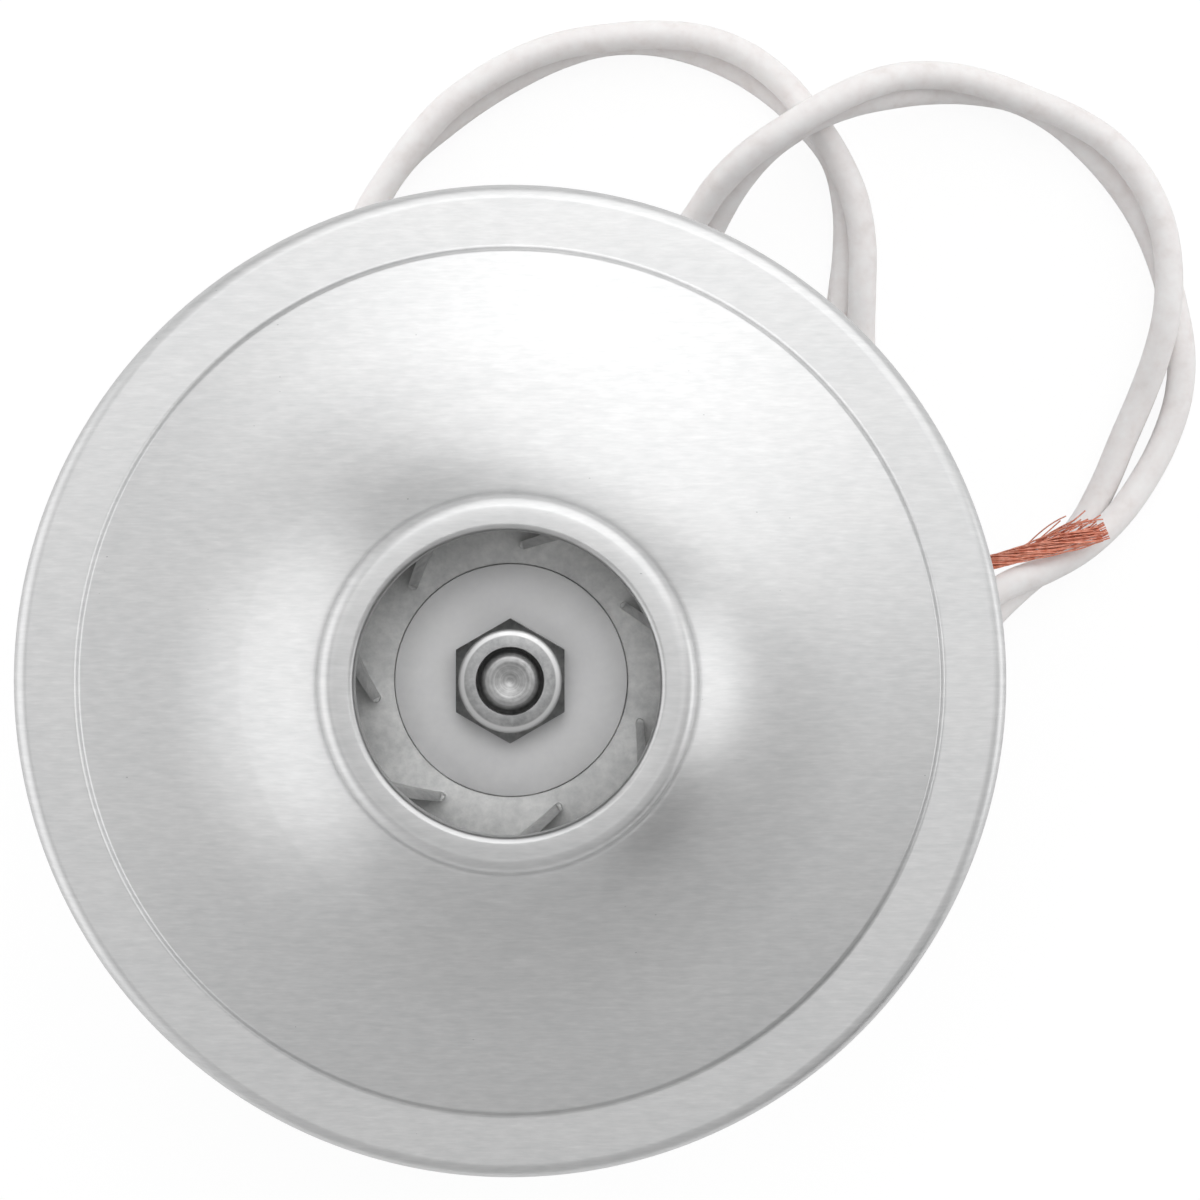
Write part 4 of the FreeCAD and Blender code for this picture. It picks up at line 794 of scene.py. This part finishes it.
def make_shaft():
    """Ground shaft with its thread, chamfered end and centre drilling."""
    bottom, top = extent("shaft")[1:]
    front_z = extent("front_bearing_inner")[1]
    rear_z = extent("rear_bearing_inner")[2]
    thread_z = extent("impeller_spacer")[1] - THREAD_UNDER_SPACER
    body_r, edge = SHAFT_BODY_R, SHAFT_CHAMFER
    section = [(radius, bottom + up) for radius, up in SHAFT_FOOT]
    section += [(SHAFT_REAR_R, rear_z), (body_r - edge, rear_z), (body_r, rear_z + edge),
                (body_r, front_z - edge), (body_r - edge, front_z), (SHAFT_FRONT_R, front_z),
                (SHAFT_FRONT_R, thread_z - SHAFT_STEP), (SHAFT_FRONT_R - SHAFT_STEP, thread_z)]
    for turn in range(math.floor((top - SHAFT_RELIEF - thread_z) / THREAD_PITCH)):
        section += [(radius, thread_z + turn * THREAD_PITCH + up) for radius, up in THREAD_TURN]
    section += [(radius, top - down) for radius, down in SHAFT_TIP]
    stand_for(lathe("motor_shaft", section, 96), "shaft")


# Leads


def lead_curve(name, points, node):
    """One lead as a smooth curve through its route."""
    data = bpy.data.curves.new(name, "CURVE")
    data.dimensions = "3D"
    spline = data.splines.new("BEZIER")
    spline.bezier_points.add(len(points) - 1)
    places = [Vector(point) * MM for point in points]
    for index, (point, place) in enumerate(zip(spline.bezier_points, places)):
        before, after = places[max(index - 1, 0)], places[min(index + 1, len(places) - 1)]
        ahead = (after - before).normalized()
        point.co = place
        point.handle_left = place - ahead * (place - before).length / 3
        point.handle_right = place + ahead * (after - place).length / 3
    spline.resolution_u = LEAD_ROUND
    data.bevel_depth = LEAD_D / 2 * MM
    data.bevel_resolution = LEAD_ROUND
    data.use_fill_caps = True
    lead = bpy.data.objects.new(name, data)
    bpy.context.scene.collection.objects.link(lead)
    return stand_for(lead, node)


def bezier_line(points, count):
    """Points along the Bezier line of four control points."""
    a, b, c, d = (Vector(point) for point in points)
    line = []
    for step in range(count + 1):
        t = step / count
        u = 1 - t
        line.append(a * u ** 3 + b * 3 * u * u * t + c * 3 * u * t * t + d * t ** 3)
    return line


def make_strands(name, node, points, fan):
    """Fine strands, twisted together, then fanned out flat with a few that stray."""
    rng = random.Random(len(name) + 17)
    line = bezier_line(points, STRAND_STEPS)
    paths = []
    for strand in range(STRAND_COUNT):
        ring_r = BUNDLE_R * math.sqrt((strand + 0.5) / STRAND_COUNT)
        stray = strand % STRAY_EVERY == 0
        twist = rng.uniform(1.2, 2.0)
        drift = fan * (rng.uniform(1.2, 2.1) if stray else rng.uniform(-0.62, 0.6))
        lift = rng.uniform(-0.2, 0.8 if stray else 0.4)
        share = rng.uniform(0.72, 0.9) if stray else rng.uniform(0.88, 1.0)
        opens_at = rng.uniform(0.2, 0.4)
        wobble = rng.uniform(0, 6.28)
        wave = rng.uniform(0.1, 0.28)
        path = []
        for index, centre in enumerate(line[:max(8, int(len(line) * share))]):
            t = index / STRAND_STEPS
            ahead = (line[min(index + 1, STRAND_STEPS)] - line[max(index - 1, 0)]).normalized()
            across = Vector((0, 0, 1)).cross(ahead).normalized()
            upward = ahead.cross(across).normalized()
            angle = strand * GOLDEN_ANGLE + twist * t * math.pi
            spread = ring_r * (1 + BUNDLE_GROWS * t)
            open_out = max(0.0, t - opens_at) / (1 - opens_at)
            side, rise = on_circle(spread, angle)
            side += drift * open_out ** 1.5 + wave * math.sin(8 * t + wobble) * open_out
            rise = rise * BUNDLE_FLAT * (1 - 0.3 * open_out) + lift * open_out ** 2
            path.append(centre + across * side + upward * rise)
        paths.append(path)
    return stand_for(wires(name, paths, STRAND_R), node)


def make_leads():
    """Both leads with their stripped ends."""
    lead_a = lead_curve("lead_a_insulation", LEAD_A_POINTS, "lead_a")
    lead_b = lead_curve("lead_b_insulation", LEAD_B_POINTS, "lead_b")
    copper_a = make_strands("lead_a_strands", "lead_a_copper", COPPER_A_POINTS, 2.3)
    copper_b = make_strands("lead_b_strands", "lead_b_copper", COPPER_B_POINTS, 1.2)


# Windings, springs, bearings and screws


def joined(name, pieces):
    """Several objects as one."""
    bm = bmesh.new()
    for piece in pieces:
        bm.from_mesh(piece.data)
        bpy.data.objects.remove(piece)
    piece = object_from(bm, name)
    smooth_mesh(piece.data)
    return piece


def section_ring(inner_r, outer_r, depth, bend, pitch):
    """Places of wires round the rounded section of a coil, as (radius, depth)."""
    foot, inner, outer, end = (Vector(corner) for corner in (
        (inner_r, 0), (inner_r, depth), (outer_r, depth), (outer_r, 0)))
    outline = [foot, *arc_points(foot, inner, outer, bend, 15), *arc_points(inner, outer, end, bend, 15), end]
    places = []
    left = 0.0
    for start, end in zip(outline, outline[1:]):
        run = (end - start).length
        while left < run:
            places.append(start.lerp(end, left / run))
            left += pitch
        left -= run
    return places


def coil_loop(radius, depth, side):
    """One turn of a field coil: two end arcs over the core's faces, joined down the slots."""
    share = depth / COIL_DEPTH
    half_turn = COIL_WINDOW_DEG + (COIL_SIDE_DEG - COIL_WINDOW_DEG) * share
    reach = math.radians(half_turn) * radius
    bend = COIL_BENDS[0] + (COIL_BENDS[1] - COIL_BENDS[0]) * share
    low, high = COIL_WINDOW_Z[0] - depth, COIL_WINDOW_Z[1] + depth
    flat = [Vector(place) for place in ((-reach, low), (reach, low), (reach, high), (-reach, high))]
    rounded = [arc_points(flat[index - 1], corner, flat[(index + 1) % 4], bend, 22.5)
               for index, corner in enumerate(flat)]
    points = []
    for index, corner in enumerate(rounded):
        target = rounded[(index + 1) % 4][0]
        steps = COIL_SIDE_STEPS if index % 2 else COIL_ARC_STEPS
        points += corner + [corner[-1].lerp(target, step / steps) for step in range(1, steps)]
    turn = 0 if side > 0 else math.pi
    return [(*on_circle(radius, turn + point.x / radius), point.y) for point in points]


def make_field_coils():
    """Field coils: enamelled wire in close turns round each pole."""
    for node, side in (("field_coil_a", 1), ("field_coil_b", -1)):
        core = dressed_mesh(node + "_core", node, inset_mm=COIL_CORE_INSET)
        rng = random.Random(5)
        loops = []
        for place in section_ring(COIL_R[0] + COIL_WIRE_R, COIL_R[1] - COIL_WIRE_R, COIL_DEPTH - COIL_WIRE_R,
                                  COIL_SECTION_BEND, COIL_PITCH):
            stray = rng.uniform(-COIL_WIRE_STRAY, COIL_WIRE_STRAY)
            loops.append(coil_loop(place.x + stray, max(place.y, COIL_LEAST_DEPTH), side))
        turns = wires(node + "_turns", loops, COIL_WIRE_R, closed=True)
        stand_for(joined(node + "_winding", [core, turns]), node)


def head_wire(first_deg, inner_r, outer_r, low_z, high_z):
    """One end turn of the armature: out of a slot, over the head and into another slot."""
    points = []
    for step in range(TURN_STEPS + 1):
        t = step / TURN_STEPS
        radius = outer_r - (outer_r - inner_r) * math.sin(math.pi * t) ** TURN_DIP
        rise = 1 - min(1.0, (outer_r - radius) / TURN_SHOULDER)
        height = low_z + (high_z - low_z) * (TURN_FOOT + (1 - TURN_FOOT) * math.sqrt(max(0.0, 1 - rise ** 2)))
        points.append((*on_circle(radius, math.radians(first_deg + TURN_SPAN_DEG * t)), height))
    return [(*points[0][:2], low_z), *points, (*points[-1][:2], low_z)]


def make_armature_winding():
    """Armature winding: end turns from slot to slot, and tails to the commutator's risers."""
    core = dressed_mesh("armature_winding_core", "armature_winding", inset_mm=ARMATURE_CORE_INSET)
    low, high = extent("armature_winding")[1:]
    core_low, core_high = extent("armature_core")[1:]
    riser = extent("commutator_bars")[2]
    rng = random.Random(9)
    paths = []
    for slot in range(SLOT_COUNT):
        for wire in range(SLOT_WIRES):
            first_deg = slot * 360 / SLOT_COUNT + (wire - (SLOT_WIRES - 1) / 2) * SLOT_WIRE_DEG
            for face, tip in ((core_high, high), (core_low, low)):
                rise = (tip - face) * rng.uniform(0.90, 0.95)
                inner_r = TURN_INNER_R + wire * TURN_R_STEP + rng.uniform(-0.2, 0.2)
                outer_r = SLOT_R - rng.uniform(0.0, 0.3)
                paths.append(head_wire(first_deg, inner_r, outer_r, face, face + rise))
    tail_z = [*(low + up for up in TAIL_OVER_HEAD), *(riser - down for down in TAIL_UNDER_RISER)]
    for bar in range(BAR_COUNT):
        bar_deg = bar * 360 / BAR_COUNT
        paths.append([(*on_circle(radius, math.radians(bar_deg + ahead)), height)
                      for (radius, ahead), height in zip(TAIL_ROUTE, tail_z)])
    turns = wires("armature_end_turns", paths, ARMATURE_WIRE_R)
    stand_for(joined("armature_winding_wound", [core, turns]), "armature_winding")


def spring_rise(t):
    """How far along its spring a wire has come after a share t of its turns, with both ends closed."""
    end = 1 / SPRING_TURNS
    if t < end:
        return 0.5 * t
    if t > 1 - end:
        return 1 - 0.5 * (1 - t)
    return 0.5 * end + (1 - end) * (t - end) / (1 - 2 * end)


def make_brush_springs():
    """Brush springs: round wire coils with closed ends."""
    for letter, side in (("a", 1), ("b", -1)):
        node = "brush_spring_" + letter
        low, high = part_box(node)
        near, far = sorted((abs(low.y), abs(high.y)))
        near, far = near / MM + SPRING_WIRE_R, far / MM - SPRING_WIRE_R
        coil_r = high.x / MM - SPRING_WIRE_R
        height = (low.z + high.z) / 2 / MM
        steps = SPRING_TURNS * SPRING_TURN_STEPS
        path = []
        for step in range(steps + 1):
            x, up = on_circle(coil_r, 2 * math.pi * SPRING_TURNS * step / steps)
            path.append((x, side * (near + (far - near) * spring_rise(step / steps)), height + up))
        piece = stand_for(wires(node + "_coil", [path], SPRING_WIRE_R), node)
        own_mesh(piece)


def make_bearings():
    """Outer bearing rings, each with its two pressed shields set back in it."""
    for name in ("front_bearing", "rear_bearing"):
        race_r = extent(name + "_inner")[0] + SHIELD_GAP
        outer_r, bottom, top = extent(name + "_outer")
        land_r, back = outer_r - RING_LAND, SHIELD_SET_BACK
        section = closed_section([
            (race_r, bottom + back), (land_r, bottom + back), (land_r + RING_LAND_SLOPE, bottom),
            (outer_r, bottom), (outer_r, top), (land_r + RING_LAND_SLOPE, top), (land_r, top - back),
            (race_r, top - back)], 0.3, 30)
        stand_for(lathe(name + "_shielded_ring", section, 128), name + "_outer")


def screw_recess(place, out, half_mm):
    """A cross recess to cut in a screw's head, at its face."""
    bm = bmesh.new()
    out = Vector(out)
    side = out.orthogonal().normalized()
    other = out.cross(side)
    for long_way, short_way in ((side, other), (other, side)):
        corners = []
        for rise, share in ((RECESS_PROUD, 1.0), (-half_mm * RECESS_DEPTH, RECESS_FLOOR)):
            for u, v in ((1, 1), (1, -1), (-1, -1), (-1, 1)):
                corners.append(bm.verts.new((Vector(place) + long_way * (u * half_mm * share)
                                             + short_way * (v * half_mm * RECESS_WIDTH) + out * rise) * MM))
        for face in ((0, 1, 2, 3), (7, 6, 5, 4), (0, 4, 5, 1), (1, 5, 6, 2), (2, 6, 7, 3), (3, 7, 4, 0)):
            bm.faces.new([corners[index] for index in face])
    bmesh.ops.recalc_face_normals(bm, faces=bm.faces)
    return object_from(bm, "screw_recess")


# Each node of screws: width of its eased edges, half width of a recess, and (place, direction) of every head
SCREWS = (
    ("brush_screws", 0.25, 1.35,
     [((x, side * 45.1, 21.5), (0, side, 0)) for side in (1, -1) for x in (-8.8, 8.8)]),
    ("frame_screws", 0.5, 2.0, [((*on_circle(36.2, math.radians(a)), 6.4), (0, 0, -1)) for a in (45, 225)]),
)


def make_screws():
    """Screws with eased heads and a cross recess in each."""
    for node, bevel_mm, half_mm, heads in SCREWS:
        piece = dressed_mesh(node + "_recessed", node, bevel_mm)
        for place, out in heads:
            cutter = screw_recess(place, out, half_mm)
            modified(piece, "BOOLEAN", object=cutter, operation="DIFFERENCE", solver="EXACT", use_self=True)
            bpy.data.objects.remove(cutter)
        smooth_mesh(piece.data)
        stand_for(piece, node)


# How wide the eased edges of every other node are

EASED_EDGES = {
    "diffuser": 0.3, "front_bracket": 0.25, "rear_bracket": 0.25, "stator_core": 0.08, "armature_core": 0.06,
    "commutator_bars": 0.05, "commutator_hub": 0.15, "impeller_spacer": 0.2, "front_bearing_inner": 0.2,
    "rear_bearing_inner": 0.2, "rear_bearing_ring": 0.2, "rear_spring_washer": 0.05, "brush_holder_a": 0.12,
    "brush_holder_b": 0.12, "brush_cap_a": 0.25, "brush_cap_b": 0.25, "brush_housing_a": 0.5,
    "brush_housing_b": 0.5, "lead_grommet": 0.6, "brush_a": 0.2, "brush_b": 0.2,
}


def make_motor():
    """Every other node, with its edges eased as its real piece has them."""
    for node, bevel_mm in EASED_EDGES.items():
        stand_for(dressed_mesh(node + "_finished", node, bevel_mm), node)


# Stage


def make_floor():
    """A pale floor that the camera sees as near white."""
    material = bpy.data.materials.new("pale_floor")
    tree = blank_tree(material)
    camera_ray = add(tree, "ShaderNodeLightPath").outputs["Is Camera Ray"]
    share = maths(tree, "MULTIPLY", camera_ray, FLOOR_GLOW_SHARE)
    matt = add(tree, "ShaderNodeBsdfDiffuse", {"Color": linear("F2F2F2")}).outputs["BSDF"]
    white = add(tree, "ShaderNodeEmission", {"Color": (1, 1, 1, 1), "Strength": FLOOR_GLOW})
    blend = add(tree, "ShaderNodeMixShader", {0: share, 1: matt, 2: white.outputs["Emission"]})
    add(tree, "ShaderNodeOutputMaterial", {"Surface": blend.outputs["Shader"]})
    mesh = bpy.data.meshes.new("floor")
    half = FLOOR_HALF * MM
    corners = [(x * half, y * half, 0) for x, y in ((-1, -1), (1, -1), (1, 1), (-1, 1))]
    mesh.from_pydata(corners, [], [(0, 1, 2, 3)])
    mesh.materials.append(material)
    new_object("floor", mesh)


def make_surroundings():
    """Even surroundings with soft boxes, white where the camera sees them."""
    world = bpy.data.worlds.new("white_surroundings")
    bpy.context.scene.world = world
    tree = blank_tree(world)
    camera_ray = add(tree, "ShaderNodeLightPath").outputs["Is Camera Ray"]
    direction = add(tree, "ShaderNodeTexCoord").outputs["Generated"]
    shade = ROOM_LEVEL
    for *angles, strength in SOFT_BOXES:
        azimuth, elevation, half_angle = (math.radians(angle) for angle in angles)
        aim = (*on_circle(math.cos(elevation), azimuth), math.sin(elevation))
        near = add(tree, "ShaderNodeVectorMath", {0: direction, 1: aim}, operation="DOT_PRODUCT")
        spread = 1 - math.cos(half_angle)
        box = add(tree, "ShaderNodeMapRange", {
            "Value": near.outputs["Value"], "From Min": 1 - spread, "From Max": 1 - SOFT_BOX_CORE * spread,
            "To Max": strength}, interpolation_type="SMOOTHSTEP")
        shade = maths(tree, "ADD", shade, box.outputs["Result"])
    level = add(tree, "ShaderNodeMix", {"Factor": camera_ray, 2: shade, 3: 1.0}, data_type="FLOAT")
    background = add(tree, "ShaderNodeBackground", {"Color": (1, 1, 1, 1), "Strength": level.outputs[0]})
    add(tree, "ShaderNodeOutputWorld", {"Surface": background.outputs["Background"]})


def make_camera():
    """The photograph's camera, straight above the cover."""
    lens = bpy.data.cameras.new("camera")
    lens.lens = CAMERA_LENS
    lens.clip_start = CAMERA_NEAR * MM
    camera = bpy.data.objects.new("camera", lens)
    camera.location = Vector(CAMERA_PLACE) * MM
    bpy.context.scene.collection.objects.link(camera)
    bpy.context.scene.camera = camera
    bpy.context.scene.view_settings.view_transform = "Standard"


make_leads()
make_fan_cover()
make_impeller()
make_clamp()
make_shaft()
make_field_coils()
make_armature_winding()
make_brush_springs()
make_bearings()
make_screws()
make_motor()
make_floor()
make_surroundings()
make_camera()
